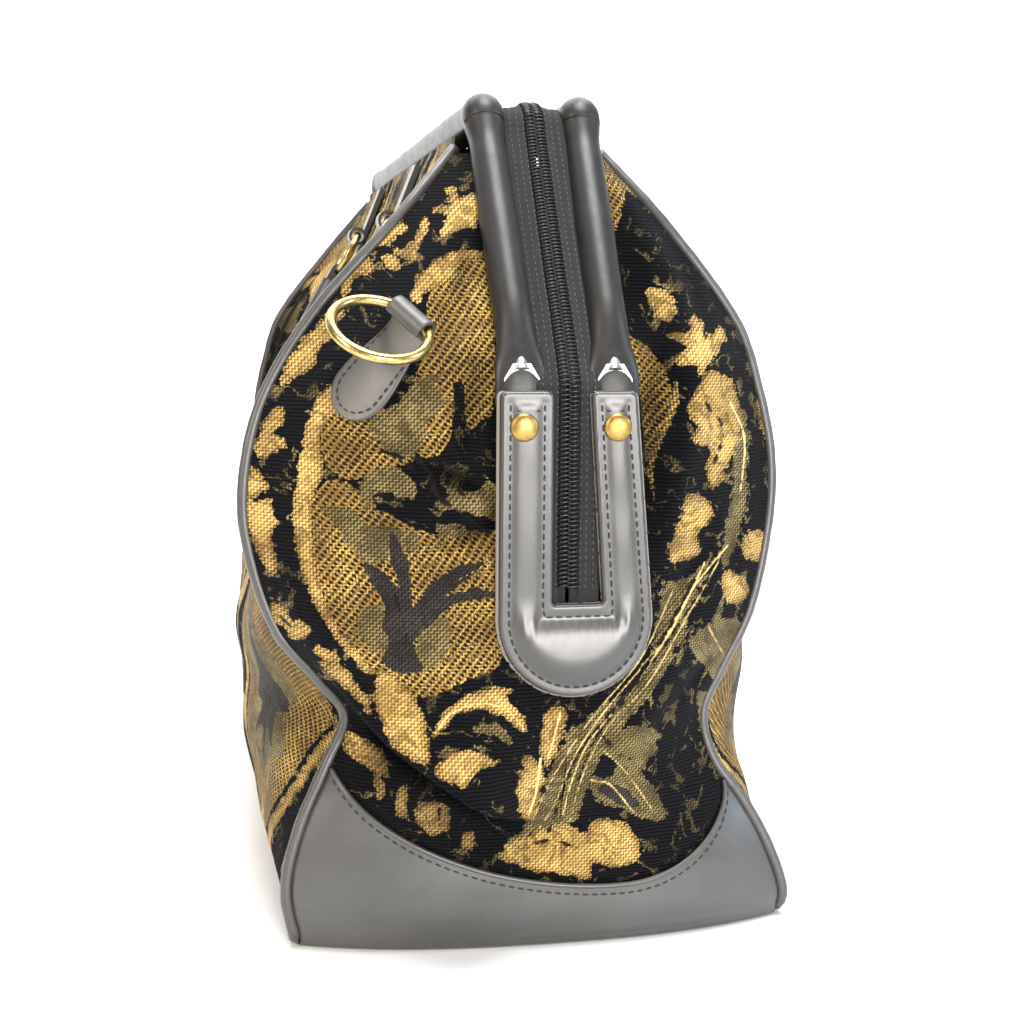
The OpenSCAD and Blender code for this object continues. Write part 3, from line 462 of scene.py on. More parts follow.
def leather(name, dark, light, pore=1.0, wear=0.3, depth=0.00012, specular=0.5, coat=0.0, rough=None):
    m, t, b = new_material(name)
    grain = use_group(t, GRAIN, {"Vector": object_mm(t), "Pore size": pore, "Wear": wear,
                                 "Dark": (*dark, 1), "Light": (*light, 1)})
    t.links.new(grain["Color"], b.inputs["Base Color"])
    r = grain["Roughness"]
    if rough is not None:
        r = plus(t, r, rough)
    t.links.new(r, b.inputs["Roughness"])
    t.links.new(bump(t, grain["Height"], depth, 0.55), b.inputs["Normal"])
    b.inputs["Specular IOR Level"].default_value = specular
    b.inputs["Coat Weight"].default_value = coat
    b.inputs["Coat Roughness"].default_value = 0.3
    return m


def use_group(t, group, values):
    """The group as a node of the material, with its inputs as given."""
    n = t.nodes.new("ShaderNodeGroup")
    n.node_tree = group
    for name, value in values.items():
        plug(t, n.inputs[name], value)
    return n.outputs


def cloth_uv(t):
    uv = t.nodes.new("ShaderNodeUVMap")
    uv.uv_map = "cloth"
    s = t.nodes.new("ShaderNodeSeparateXYZ")
    t.links.new(uv.outputs[0], s.inputs[0])
    return (times(t, s.outputs[0], 1000.0), times(t, s.outputs[1], 1000.0))


def combine(t, x, y, z=0.0):
    n = t.nodes.new("ShaderNodeCombineXYZ")
    for s, v in zip(n.inputs, (x, y, z)):
        plug(t, s, v)
    return n.outputs[0]


def tapestry_material():
    m, t, b = new_material("tapestry")
    u, v = cloth_uv(t)
    uv = combine(t, u, v)
    fields = []
    for name in ("motif", "accent"):
        at = t.nodes.new("ShaderNodeAttribute")
        at.attribute_name = name
        sep = t.nodes.new("ShaderNodeSeparateColor")
        t.links.new(at.outputs["Color"], sep.inputs[0])
        fields += [mul_add(t, sep.outputs[k], 48.0, -24.0) for k in range(3)]
    # wefts float over the edges, so each edge is serrated along them
    weft = math_node(t, "FLOOR", times(t, v, 1 / 0.62))
    spike = noise(t, combine(t, times(t, u, 0.22), times(t, weft, 0.71)), 1.0, 2.0, 0.6)
    slow = noise(t, uv, 0.3, 2.0, 0.5)
    jag = mul_add(t, spike, 22.0, mul_add(t, slow, 62.0, -42.0))
    fine = times(t, jag, 0.35)

    def inside(field, rough, soft=1.2):
        return map_range(t, plus(t, field, rough), -soft, soft, 0, 1, True)

    # feathery leaves: strands that reach out of each motif, and black veins that cut into it
    warp_v = noise(t, combine(t, times(t, u, 0.06), times(t, v, 0.06), 4.0), 1.0, 3.0, 0.55)
    sweep = plus(t, mul_add(t, warp_v, 46.0, v), times(t, u, 0.55))
    along = minus(t, u, times(t, v, 0.55))
    strand = noise(t, combine(t, times(t, sweep, 0.34), times(t, along, 0.085)), 1.0, 3.0, 0.55)
    reach = mul_add(t, strand, 76.0, -42.0)
    jag = plus(t, times(t, jag, 0.5), times(t, reach, 0.32))
    stray = noise(t, combine(t, times(t, sweep, 0.17), times(t, along, 0.1), 9.0), 1.0, 3.0, 0.6)
    vein = map_range(t, strand, 0.4, 0.52, 1, 0, True)
    gold, olive, net = (inside(fields[k], jag if k < 2 else fine) for k in range(3))
    near_any = map_range(t, larger(t, fields[0], fields[1]), -24.0, -10.0, 0.45, 1.0, True)
    sprig = times(t, map_range(t, stray, 0.575, 0.59, 0, 1, True), near_any)
    olive = larger(t, olive, times(t, sprig, 0.9))
    grey, dark = inside(fields[3], fine), inside(fields[5], fine)
    light = inside(fields[4], times(t, jag, 0.1))
    weave = use_group(t, WEAVE, {"U": u, "V": v, "Pitch": 1.05})
    # openwork: slanting holes in staggered rows
    su = plus(t, u, times(t, v, 0.45))
    cu, cv = wave(t, su, 2.9), wave(t, v, 2.5)
    hole_a = times(t, cu, cv)
    hole_b = times(t, minus(t, 1.0, cu), minus(t, 1.0, cv))
    worn = map_range(t, noise(t, uv, 0.07, 2.0), 0.36, 0.56, 0.0, 0.16)
    hole = map_range(t, minus(t, larger(t, hole_a, hole_b), worn), 0.36, 0.6, 0, 1, True)
    slub = noise(t, combine(t, times(t, u, 0.4), times(t, v, 2.8)), 0.9, 3.0, 0.6)
    patch = noise(t, uv, 0.06, 3.0, 0.6)
    tone = mul_add(t, weave["Tone"], 0.85, mul_add(t, slub, 0.8, mul_add(t, patch, 1.9, -1.5)))
    tone = times(t, tone, 1.0, clamp=True)
    core = map_range(t, fields[0], -6.0, 22.0, -0.12, 0.22, True)
    shade = minus(t, 1.0, times(t, vein, 0.6))
    tone = times(t, plus(t, tone, core), shade, clamp=True)
    gold_c = mix_color(t, tone, (0.06, 0.03, 0.008, 1), (0.74, 0.48, 0.15, 1))
    olive_c = mix_color(t, tone, (0.04, 0.028, 0.01, 1), (0.42, 0.32, 0.13, 1))
    grey_c = mix_color(t, tone, (0.012, 0.01, 0.009, 1), (0.075, 0.062, 0.052, 1))
    net_c = mix_color(t, hole, mix_color(t, tone, (0.16, 0.085, 0.018, 1), (0.8, 0.53, 0.13, 1)),
                      (0.012, 0.008, 0.007, 1))
    # chenille ground: plush ribs along the wefts
    rib_v = plus(t, v, mul_add(t, noise(t, uv, 0.12, 2.0), 1.2, -0.6))
    rib = wave(t, rib_v, 1.3)
    tuft = noise(t, combine(t, times(t, u, 1.5), times(t, v, 0.9)), 2.0, 3.0, 0.7)
    pile = times(t, rib, map_range(t, tuft, 0.36, 0.6, 0.0, 1.0))
    ground = mix_color(t, pile, (0.0008, 0.0008, 0.0011, 1), (0.009, 0.0093, 0.0135, 1))
    color = mix_color(t, net, ground, net_c)
    color = mix_color(t, olive, color, olive_c)
    color = mix_color(t, gold, color, gold_c)
    color = mix_color(t, grey, color, grey_c)
    color = mix_color(t, light, color, mix_color(t, slub, (0.5, 0.33, 0.1, 1), (0.95, 0.72, 0.3, 1)))
    color = mix_color(t, dark, color, (0.012, 0.008, 0.007, 1))
    at = t.nodes.new("ShaderNodeAttribute")
    at.attribute_name = "shade"
    t.links.new(mix_color(t, 1.0, color, at.outputs["Color"], "MULTIPLY"), b.inputs["Base Color"])
    thread = larger(t, larger(t, gold, olive), larger(t, net, grey))
    woven = mul_add(t, weave["Height"], 0.4, 0.1)
    high = plus(t, times(t, thread, woven), times(t, minus(t, 1.0, thread), mul_add(t, pile, 0.4, 0.55)))
    only_net = times(t, net, minus(t, 1.0, larger(t, gold, olive)))
    high = minus(t, high, times(t, times(t, only_net, hole), 0.6))
    high = minus(t, high, times(t, dark, 0.6))
    t.links.new(bump(t, high, 0.0008, 1.0), b.inputs["Normal"])
    t.links.new(mix_color(t, thread, (0.97, 0.97, 0.97, 1), (0.58, 0.58, 0.58, 1)), b.inputs["Roughness"])
    b.inputs["Specular IOR Level"].default_value = 0.08
    b.inputs["Sheen Weight"].default_value = 0.02
    b.inputs["Sheen Roughness"].default_value = 0.5
    return m


def woven_material(name, low, high, pitch, twill=0.0, rough=0.85):
    m, t, b = new_material(name)
    u, v = cloth_uv(t)
    if twill:
        zig = math_node(t, "ABSOLUTE", minus(t, math_node(t, "FRACT", math_node(t, "DIVIDE", u, twill)), 0.5))
        h = wave(t, mul_add(t, zig, twill * 2, v), pitch)
    else:
        h = use_group(t, WEAVE, {"U": u, "V": v, "Pitch": pitch})["Height"]
    tone = plus(t, times(t, h, 0.7), times(t, noise(t, combine(t, u, v), 0.3, 3.0), 0.3))
    t.links.new(mix_color(t, tone, (*low, 1), (*high, 1)), b.inputs["Base Color"])
    t.links.new(bump(t, h, 0.0003, 0.8), b.inputs["Normal"])
    b.inputs["Roughness"].default_value = rough
    b.inputs["Specular IOR Level"].default_value = 0.2
    b.inputs["Sheen Weight"].default_value = 0.03
    return m


def metal_material(name, base, dark, rough=0.3, metallic=1.0):
    m, t, b = new_material(name)
    co = object_mm(t)
    tarnish = noise(t, co, 0.35, 4.0, 0.6)
    spots = noise(t, co, 2.2, 3.0, 0.7)
    k = times(t, map_range(t, tarnish, 0.35, 0.7, 0, 1, True), map_range(t, spots, 0.3, 0.7, 0.4, 1.0))
    t.links.new(mix_color(t, k, (*base, 1), (*dark, 1)), b.inputs["Base Color"])
    t.links.new(map_range(t, spots, 0.3, 0.7, rough - 0.08, rough + 0.12), b.inputs["Roughness"])
    t.links.new(bump(t, spots, 0.00004, 0.4), b.inputs["Normal"])
    b.inputs["Metallic"].default_value = metallic
    return m


def plain_material(name, low, high, rough=0.5, scale=1.5):
    m, t, b = new_material(name)
    co = object_mm(t)
    n = noise(t, co, scale, 3.0, 0.6)
    t.links.new(mix_color(t, n, (*low, 1), (*high, 1)), b.inputs["Base Color"])
    t.links.new(map_range(t, n, 0.3, 0.7, rough - 0.06, rough + 0.08), b.inputs["Roughness"])
    t.links.new(bump(t, n, 0.00005, 0.5), b.inputs["Normal"])
    return m


MAT = {
    "tapestry": tapestry_material(),
    "boot": leather("boot_leatherette", (0.022, 0.021, 0.021), (0.06, 0.058, 0.055), 1.6, 0.25, 0.00004, 0.7, 0.4,
                    -0.04),
    "tab": leather("tab_leatherette", (0.011, 0.0105, 0.01), (0.03, 0.028, 0.026), 1.5, 0.3, 0.00004, 0.5, 1.0, 0.02),
    "sleeve": leather("sleeve_leatherette", (0.007, 0.0066, 0.0064), (0.02, 0.0185, 0.018), 1.6, 0.25, 0.00003, 0.4,
                      0.15, -0.03),
    "trim": leather("trim_leatherette", (0.02, 0.019, 0.018), (0.055, 0.051, 0.047), 1.4, 0.4, 0.00005, 0.7, 0.3),
    "cut_edge": plain_material("cut_edge", (0.16, 0.14, 0.12), (0.3, 0.27, 0.23), 0.7, 1.2),
    "thread": plain_material("stitch_thread", (0.006, 0.006, 0.006), (0.02, 0.019, 0.018), 0.6, 3.0),
    "brass": metal_material("antique_brass", (0.4, 0.27, 0.085), (0.2, 0.12, 0.035), 0.42),
    "ring": metal_material("polished_brass", (0.56, 0.44, 0.18), (0.32, 0.23, 0.085), 0.28),
    "steel": metal_material("frame_steel", (0.5, 0.5, 0.5), (0.2, 0.18, 0.16), 0.4),
    "dark_metal": metal_material("dark_metal", (0.06, 0.06, 0.062), (0.02, 0.02, 0.02), 0.35),
    "tape": woven_material("zip_tape", (0.004, 0.004, 0.005), (0.05, 0.05, 0.054), 1.3, 3.8),
    "coil": plain_material("zip_coil", (0.006, 0.006, 0.007), (0.014, 0.014, 0.015), 0.3, 3.0),
    "lining": woven_material("lining_cloth", (0.008, 0.008, 0.009), (0.03, 0.028, 0.028), 0.6),
    "board": plain_material("pressed_board", (0.16, 0.11, 0.06), (0.3, 0.22, 0.13), 0.85, 0.8),
    "dots": plain_material("zip_sewing_thread", (0.05, 0.05, 0.052), (0.13, 0.13, 0.135), 0.6, 3.0),
}


def finish_piece(ob, material, body=None, nodes=(), blend_to=None):
    ob.data.materials.clear()
    ob.data.materials.append(MAT[material])
    if blend_to:
        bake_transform(ob)
    elif body:
        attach(ob, body)
    if nodes:
        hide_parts(*nodes)
    return ob


# ---------------------------------------------------------------- tapestry pattern
def blob(x, y, cx, cy, rx, ry, turn=0.0):
    """Signed distance, roughly in picture units, positive inside an ellipse."""
    a = math.radians(turn)
    u = (x - cx) * math.cos(a) + (y - cy) * math.sin(a)
    v = -(x - cx) * math.sin(a) + (y - cy) * math.cos(a)
    k = np.sqrt((u / rx) ** 2 + (v / ry) ** 2)
    return (1 - k) * min(rx, ry)


def scroll(x, y, points, w0, w1):
    """A stem along points, tapering from w0 to w1."""
    p = np.array(points, float)
    d = np.concatenate([[0], np.cumsum(np.linalg.norm(np.diff(p, axis=0), axis=1))])
    s = np.linspace(0, d[-1], max(len(p) * 5, 8))
    q = np.stack([follow(np.stack([d, p[:, k]], -1), s) for k in range(2)], -1)
    w = np.linspace(w0, w1, len(q)) / 2
    out = np.full(x.shape, -1e3)
    for i in range(len(q) - 1):
        ax, ay = q[i]
        bx, by = q[i + 1] - q[i]
        h = np.clip(((x - ax) * bx + (y - ay) * by) / (bx * bx + by * by + 1e-9), 0, 1)
        r = w[i] + (w[i + 1] - w[i]) * h
        out = np.maximum(out, r - np.hypot(x - ax - h * bx, y - ay - h * by))
    return out


def shape(x, y, *points):
    """Signed distance, positive inside, to a smooth closed outline through points."""
    p = np.array(points, float)
    n = len(p)
    t = np.arange(4)[:, None, None] / 4
    a, b, c, d = (np.roll(p, k, 0)[None] for k in (1, 0, -1, -2))
    q = 0.5 * (2 * b + (c - a) * t + (2 * a - 5 * b + 4 * c - d) * t ** 2 + (3 * b - a - 3 * c + d) * t ** 3)
    q = q.transpose(1, 0, 2).reshape(4 * n, 2)
    out = np.full(x.shape, -99.0)
    near = (x > q[:, 0].min() - 26) & (x < q[:, 0].max() + 26) & (y > q[:, 1].min() - 26) & (y < q[:, 1].max() + 26)
    if near.any():
        out[near] = outline_distance(x[near], y[near], q)[0]
    return out


def union(*fields):
    return np.maximum.reduce(fields)


def end_motifs(px, py):
    """The end's design, in units of 1/2.8 of a picture unit: the fields of gold, olive, openwork, grey, light, dark."""
    x, y = (px - 230) * 2.8, (py - 80) * 2.8
    f = lambda *p: shape(x, y, *p)
    s = lambda w0, w1, *p: scroll(x, y, p, w0, w1)
    net = union(
        f((560, 590), (650, 500), (725, 500), (740, 700), (750, 900), (700, 960), (620, 1010), (560, 1060), (480, 1010),
          (430, 960), (500, 880), (540, 760)),
        f((262, 930), (340, 900), (450, 930), (470, 1000), (520, 1060), (440, 1090), (330, 1120), (262, 1060)),
        f((210, 1190), (300, 1120), (420, 1200), (560, 1270), (700, 1260), (765, 1230), (765, 1610), (660, 1680),
          (540, 1730), (440, 1680), (330, 1600), (250, 1480), (215, 1330)),
        f((1105, 720), (1180, 760), (1232, 840), (1240, 930), (1195, 1040), (1165, 1060), (1150, 900)),
        f((1050, 200), (1110, 210), (1110, 300), (1080, 420), (1060, 330)))
    gold = union(
        f((500, 600), (545, 525), (620, 480), (700, 472), (712, 500), (650, 512), (625, 555), (560, 590), (530, 625)),
        f((250, 880), (300, 850), (345, 900), (330, 935), (270, 950), (258, 1030), (262, 1100), (235, 1180),
          (235, 1300),
          (262, 1440), (330, 1570), (405, 1650), (380, 1665), (300, 1570), (225, 1450), (180, 1300), (176, 1180),
          (195, 1060), (215, 960)),
        f((440, 458), (478, 470), (505, 452), (545, 378), (556, 402), (532, 478), (545, 500), (505, 512), (470, 490)),
        f((420, 430), (470, 398), (496, 406), (482, 432), (432, 462), (405, 470)),
        f((428, 492), (470, 492), (478, 520), (462, 534), (432, 522)),
        f((382, 498), (402, 520), (395, 545), (350, 558), (330, 600), (306, 600), (320, 560)),
        f((600, 300), (632, 296), (642, 332), (680, 310), (700, 345), (690, 420), (650, 420), (600, 442), (585, 422),
          (604, 384), (566, 372), (582, 348), (612, 346)),
        f((300, 612), (322, 660), (292, 692), (318, 712), (246, 756), (240, 800), (160, 850), (136, 872), (158, 792),
          (212, 716), (262, 660)),
        f((108, 928), (142, 914), (156, 956), (124, 988), (156, 1004), (150, 1034), (72, 1056), (84, 980)),
        f((56, 1080), (100, 1118), (112, 1148), (74, 1152), (64, 1178), (112, 1172), (128, 1216), (145, 1236),
          (118, 1268), (128, 1340), (128, 1376), (98, 1362), (58, 1290), (40, 1180)),
        f((118, 1464), (160, 1476), (172, 1506), (222, 1526), (216, 1566), (172, 1570), (150, 1538), (108, 1516)),
        f((236, 1586), (290, 1600), (312, 1626), (262, 1636), (312, 1632), (350, 1680), (396, 1738), (386, 1778),
          (338, 1716), (296, 1686), (252, 1630)),
        f((418, 1652), (474, 1674), (524, 1740), (552, 1820), (560, 1904), (548, 1946), (498, 1908), (448, 1856),
          (412, 1776), (402, 1712)),
        f((562, 1846), (590, 1776), (650, 1730), (706, 1712), (714, 1704), (748, 1700), (790, 1706), (776, 1732),
          (826, 1782), (832, 1832), (800, 1820), (768, 1786), (700, 1766), (640, 1776), (600, 1818)),
        f((568, 1940), (610, 1890), (672, 1874), (732, 1896), (758, 1916), (700, 1936), (664, 1972), (652, 1996),
          (616, 1972), (576, 1952)),
        f((880, 1776), (920, 1752), (950, 1776), (924, 1856), (892, 1920), (866, 1880)),
        f((842, 1890), (882, 1936), (872, 2006), (850, 2080), (812, 2060), (802, 1976), (822, 1912)),
        f((400, 1932), (426, 1940), (434, 2006), (410, 2012)), f((466, 1992), (494, 1986), (498, 2060), (464, 2056)),
        f((520, 2030), (560, 2014), (612, 2034), (614, 2100), (562, 2112), (524, 2084)),
        f((650, 2112), (684, 2104), (680, 2152), (648, 2150)),
        f((320, 1822), (390, 1840), (440, 1900), (442, 1960), (384, 1930), (322, 1880)),
        f((752, 2172), (780, 2136), (848, 2104), (930, 2076), (1000, 2110), (1006, 2080), (1060, 2066), (1118, 2088),
          (1146, 2140), (1140, 2186), (1090, 2212), (1036, 2196), (1012, 2190), (1006, 2236), (900, 2222), (816, 2208)),
        f((1166, 590), (1216, 588), (1252, 630), (1240, 676), (1206, 680), (1172, 630)),
        f((1288, 656), (1322, 676), (1332, 722), (1372, 690), (1392, 722), (1352, 780), (1322, 842), (1306, 802),
          (1258, 798), (1248, 768), (1282, 748), (1228, 722), (1240, 698), (1284, 702)),
        f((1340, 816), (1402, 836), (1428, 900), (1432, 984), (1392, 1082), (1362, 1142), (1328, 1104), (1342, 1040),
          (1286, 1010), (1312, 978), (1276, 930), (1300, 880)),
        f((1246, 838), (1256, 900), (1234, 966), (1192, 1060), (1182, 1150), (1170, 1080), (1208, 980), (1232, 900)),
        f((1286, 1160), (1340, 1172), (1352, 1226), (1306, 1276), (1322, 1326), (1242, 1356), (1224, 1304),
          (1250, 1250)),
        f((1456, 690), (1486, 780), (1462, 800), (1446, 740)), f((1476, 850), (1512, 870), (1512, 1000), (1488, 980)),
        f((1392, 1366), (1452, 1404), (1442, 1456), (1392, 1466), (1376, 1416)),
        f((1436, 1272), (1506, 1266), (1506, 1336), (1440, 1342)))
    olive = union(
        f((1060, 190), (1110, 200), (1190, 270), (1256, 334), (1272, 404), (1234, 410), (1180, 352), (1116, 316),
          (1074, 268)),
        f((1396, 890), (1440, 930), (1450, 1100), (1420, 1300), (1376, 1370), (1388, 1240), (1412, 1060)),
        f((1396, 1306), (1330, 1380), (1290, 1500), (1210, 1680), (1110, 1800), (1046, 1880), (1012, 1960), (962, 2080),
          (900, 2180), (806, 2196), (752, 2170), (832, 2076), (862, 2026), (902, 1916), (962, 1816), (1052, 1746),
          (1132, 1696), (1186, 1596), (1192, 1506), (1220, 1416), (1302, 1376)),
        f((680, 1806), (742, 1800), (790, 1836), (786, 1868), (740, 1838), (690, 1828)),
        f((1092, 1814), (1182, 1812), (1196, 1876), (1162, 1936), (1226, 2056), (1170, 2074), (1100, 2046),
          (1050, 2030),
          (1006, 1976), (1010, 1944), (1062, 1950), (1084, 1916), (1036, 1870)),
        f((1286, 1566), (1384, 1506), (1444, 1526), (1474, 1596), (1506, 1776), (1494, 1836), (1420, 1776),
          (1340, 1666)),
        f((1308, 1704), (1352, 1736), (1402, 1816), (1484, 1876), (1506, 1960), (1440, 1940), (1340, 1856),
          (1316, 1796)),
        f((245, 1192), (330, 1200), (374, 1234), (452, 1256), (524, 1264), (530, 1320), (462, 1330), (392, 1362),
          (330, 1310), (306, 1256)),
        f((362, 1486), (420, 1476), (446, 1560), (440, 1610), (392, 1596), (356, 1536)),
        f((536, 1530), (606, 1500), (620, 1560), (600, 1620), (540, 1660), (512, 1630)),
        f((390, 960), (470, 900), (540, 830), (600, 900), (560, 960), (520, 1050), (440, 1040)),
        f((370, 1110), (450, 1080), (520, 1130), (500, 1190), (420, 1200), (366, 1160)),
        f((545, 1180), (600, 1140), (680, 1150), (740, 1120), (750, 1220), (680, 1270), (600, 1276), (540, 1240)))
    grey = union(
        f((376, 1352), (436, 1384), (476, 1430), (450, 1330), (452, 1264), (500, 1350), (512, 1474), (556, 1420),
          (620, 1372), (712, 1352), (650, 1408), (604, 1444), (690, 1420), (748, 1444), (640, 1462), (592, 1496),
          (524, 1562), (520, 1606), (544, 1650), (480, 1660), (426, 1630), (444, 1576), (424, 1526), (436, 1480),
          (402, 1420)),
        f((1030, 1980), (1100, 1980), (1150, 2030), (1090, 2030)))
    light = union(
        s(5, 3, (1272, 1462), (1188, 1600), (1046, 1772), (966, 1892), (906, 2032), (862, 2100)),
        s(5, 4, (1330, 1350), (1240, 1530), (1124, 1712), (1006, 1852), (954, 1972), (932, 2060)),
        s(4, 3, (1396, 1300), (1300, 1420), (1226, 1560), (1150, 1640)),
        s(4, 3, (1240, 1430), (1150, 1620), (1010, 1790), (900, 1960), (840, 2090)),
        s(4, 3, (1370, 1345), (1270, 1520), (1170, 1690), (1060, 1810), (990, 1940), (950, 2080)),
        s(7, 4, (572, 1846), (606, 1786), (690, 1748), (780, 1766), (824, 1822)),
        s(4, 3, (640, 1400), (690, 1372), (740, 1340)),
        s(7, 4, (1340, 1530), (1400, 1640), (1480, 1760)), s(6, 4, (1050, 1880), (1110, 1940), (1180, 2040)),
        s(9, 6, (870, 1900), (858, 1990), (836, 2060)), s(7, 5, (925, 1770), (905, 1850), (890, 1900)),
        s(7, 5, (1012, 1962), (1060, 1970), (1130, 2050)), s(7, 4, (1400, 900), (1440, 1000), (1430, 1150)))
    # the first two dark strokes are painted shade along the folds left of the tab; the other strokes are dark lines of
    # the design
    dark = union(
        s(12, 6, (520, 1060), (560, 1100), (580, 1160), (700, 1250), (765, 1290)),
        s(10, 4, (425, 1040), (480, 1060), (540, 1130)), s(7, 3, (1040, 1830), (1080, 1880), (1120, 1900)),
        s(7, 4, (1300, 1400), (1200, 1580), (1080, 1750), (980, 1880), (925, 2010), (890, 2110)),
        s(6, 4, (1350, 1380), (1220, 1580), (1100, 1740), (1020, 1850), (975, 1960)),
        s(7, 4, (840, 2140), (900, 2130), (980, 2150)), s(6, 3, (460, 1440), (490, 1540), (480, 1640)),
        s(8, 5, (660, 1775), (720, 1775), (790, 1830)), s(7, 4, (1330, 900), (1380, 980), (1350, 1090)),
        s(8, 3, (640, 1150), (690, 1180), (745, 1170)), s(8, 3, (395, 1150), (450, 1170), (510, 1180)),
        s(7, 3, (130, 1490), (170, 1530)), s(6, 3, (540, 2040), (560, 2090)), s(6, 3, (585, 2040), (585, 2090)))
    # motifs cut back to the black plush ground under the sharp fold and in the swirl beside the tab: partly the cloth's
    # own black ground, partly painted shadow under the fold and painted shade in the hollows
    ground_and_painted_shade = union(s(34, 20, (255, 1740), (330, 1786), (420, 1856), (560, 1956), (700, 2036), (830, 2100)),
                 s(56, 30, (430, 1180), (520, 1200), (640, 1232), (765, 1250)),
                 s(30, 50, (640, 860), (640, 980), (600, 1110), (560, 1230)),
                 s(20, 34, (760, 420), (756, 800), (750, 1100)))
    cut = lambda field: np.minimum(field, -ground_and_painted_shade)
    return cut(gold), cut(olive), cut(net), cut(grey), cut(light), dark


def side_motifs(y, z):
    """The sides' design: openwork medallions between scrolling stems, mirrored about each medallion."""
    repeat = 420.0
    x = np.abs((y * 2.8 + repeat * 20.5) % repeat - repeat / 2)
    h = (z * 2.8 + 90) % 640.0
    k = 2.8
    f = lambda *p: shape(x * k, h * k, *[(a * k, b * k) for a, b in p])
    s = lambda w0, w1, *p: scroll(x * k, h * k, [(a * k, b * k) for a, b in p], w0 * k, w1 * k)
    net = blob(x, h, 0, 320, 100, 150) * k
    gold = union(-np.abs(blob(x, h, 0, 320, 112, 166) * k + 4) + 22,
                 f((-30, 150), (0, 110), (30, 150), (16, 190), (-16, 190)),
                 f((-40, 520), (0, 470), (40, 520), (22, 560), (0, 540), (-22, 560)),
                 f((118, 120), (150, 90), (176, 120), (160, 160), (190, 180), (150, 200), (120, 170)),
                 f((130, 400), (160, 380), (186, 410), (170, 450), (196, 470), (150, 480), (128, 450)),
                 f((70, 40), (100, 20), (130, 50), (110, 80), (80, 76)), f((60, 580), (90, 560), (120, 590), (96, 620)),
                 f((120, 250), (146, 240), (150, 280), (124, 290)), f((172, 560), (200, 540), (206, 590), (180, 600)))
    olive = union(s(26, 16, (205, 20), (165, 100), (150, 190), (178, 290), (150, 380), (165, 480), (205, 600)),
                  f((0, 430), (36, 400), (60, 340), (40, 300), (70, 270), (30, 250), (0, 230), (-30, 250), (-60, 340)),
                  f((20, 60), (60, 80), (70, 120), (30, 110)))
    grey = f((0, 400), (14, 350), (44, 310), (20, 300), (36, 262), (8, 280), (0, 240), (-14, 350))
    light = union(s(3, 2, (198, 20), (160, 100), (145, 190), (172, 290), (144, 380), (160, 480), (200, 600)),
                  s(3, 2, (212, 20), (172, 100), (157, 190), (184, 290), (157, 380), (172, 480)))
    dark = union(s(4, 2, (0, 250), (0, 400)), s(3, 1.5, (150, 100), (158, 180)), s(3, 1.5, (160, 395), (160, 470)))
    return gold, olive, net, grey, light, dark


def set_motifs(ob, motifs):
    """Six fields packed in two colour attributes."""
    packed = [np.clip(m, -24, 24) / 48 + 0.5 for m in motifs] + [np.ones(motifs[0].shape)] * 2
    set_attribute(ob, "motif", np.stack([packed[0], packed[1], packed[2], packed[6]], -1).reshape(-1, 4))
    set_attribute(ob, "accent", np.stack([packed[3], packed[4], packed[5], packed[7]], -1).reshape(-1, 4))


# ---------------------------------------------------------------- tapestry panels
def ripple(u, v, size, seed, amount):
    """A soft unevenness of cloth, as a sum of slow waves."""
    rng = np.random.RandomState(seed)
    out = np.zeros(np.shape(u))
    for _ in range(7):
        a, f, p = rng.uniform(0, 2 * np.pi), rng.uniform(0.6, 1.7) * 2 * np.pi / size, rng.uniform(0, 2 * np.pi)
        out = out + np.sin((u * np.cos(a) + v * np.sin(a)) * f + p) / 7
    return out * amount


def end_detail(x, z, side):
    """How far the cloth of the near end stands out beyond its main form, in mm."""
    out = ripple(x, z, 46, 3 if side < 0 else 8, 1.5)
    crease = lambda cx, cz, turn, length, width, depth: depth * np.exp(
        -(((x - cx) * math.cos(turn) + (z - cz) * math.sin(turn)) / length) ** 2
        - ((-(x - cx) * math.sin(turn) + (z - cz) * math.cos(turn)) / width) ** 2)
    if side < 0:
        out = out - crease(-37, 170, -0.45, 17, 3.4, 7.5) + crease(-44, 178, -0.45, 18, 5, 3.5)
        out = out - crease(-33, 150, 0.5, 13, 3.2, 5.0) + crease(-40, 158, 0.4, 12, 4, 3.0)
        out = out - crease(-31, 196, 1.35, 26, 5, 6.0) - crease(-52, 186, 0.9, 16, 3, 2.5)
        out = out - crease(-32, 235, 1.1, 34, 4, 4.0) + crease(-45, 238, 1.0, 30, 6, 2.5)
        out = out + crease(-58, 128, 0.4, 26, 14, 3.0) - crease(-70, 150, 1.2, 22, 4, 1.8)
    else:
        out = out - crease(33, 180, 1.4, 34, 6, 7.5) + crease(48, 182, 1.3, 36, 8, 4.0)
        out = out - crease(37, 118, 1.0, 26, 4, 3.5) + crease(30, 84, 0.9, 26, 7, 2.5)
        out = out - crease(56, 96, 0.7, 22, 4, 2.5) - crease(56, 235, 1.7, 26, 5, 2.5)
        out = out - crease(70, 150, 1.5, 30, 4, 2.0)
    return out * ease(0, 12, np.minimum(np.abs(x - follow(FRONT_X, z)), np.abs(x - follow(BACK_X, z))))


def fold_rise(x, z):
    """Height in mm above the sharp fold that hangs over the boot at the front."""
    return z - (WAIST_Z + 14 - 0.66 * (x + 80))


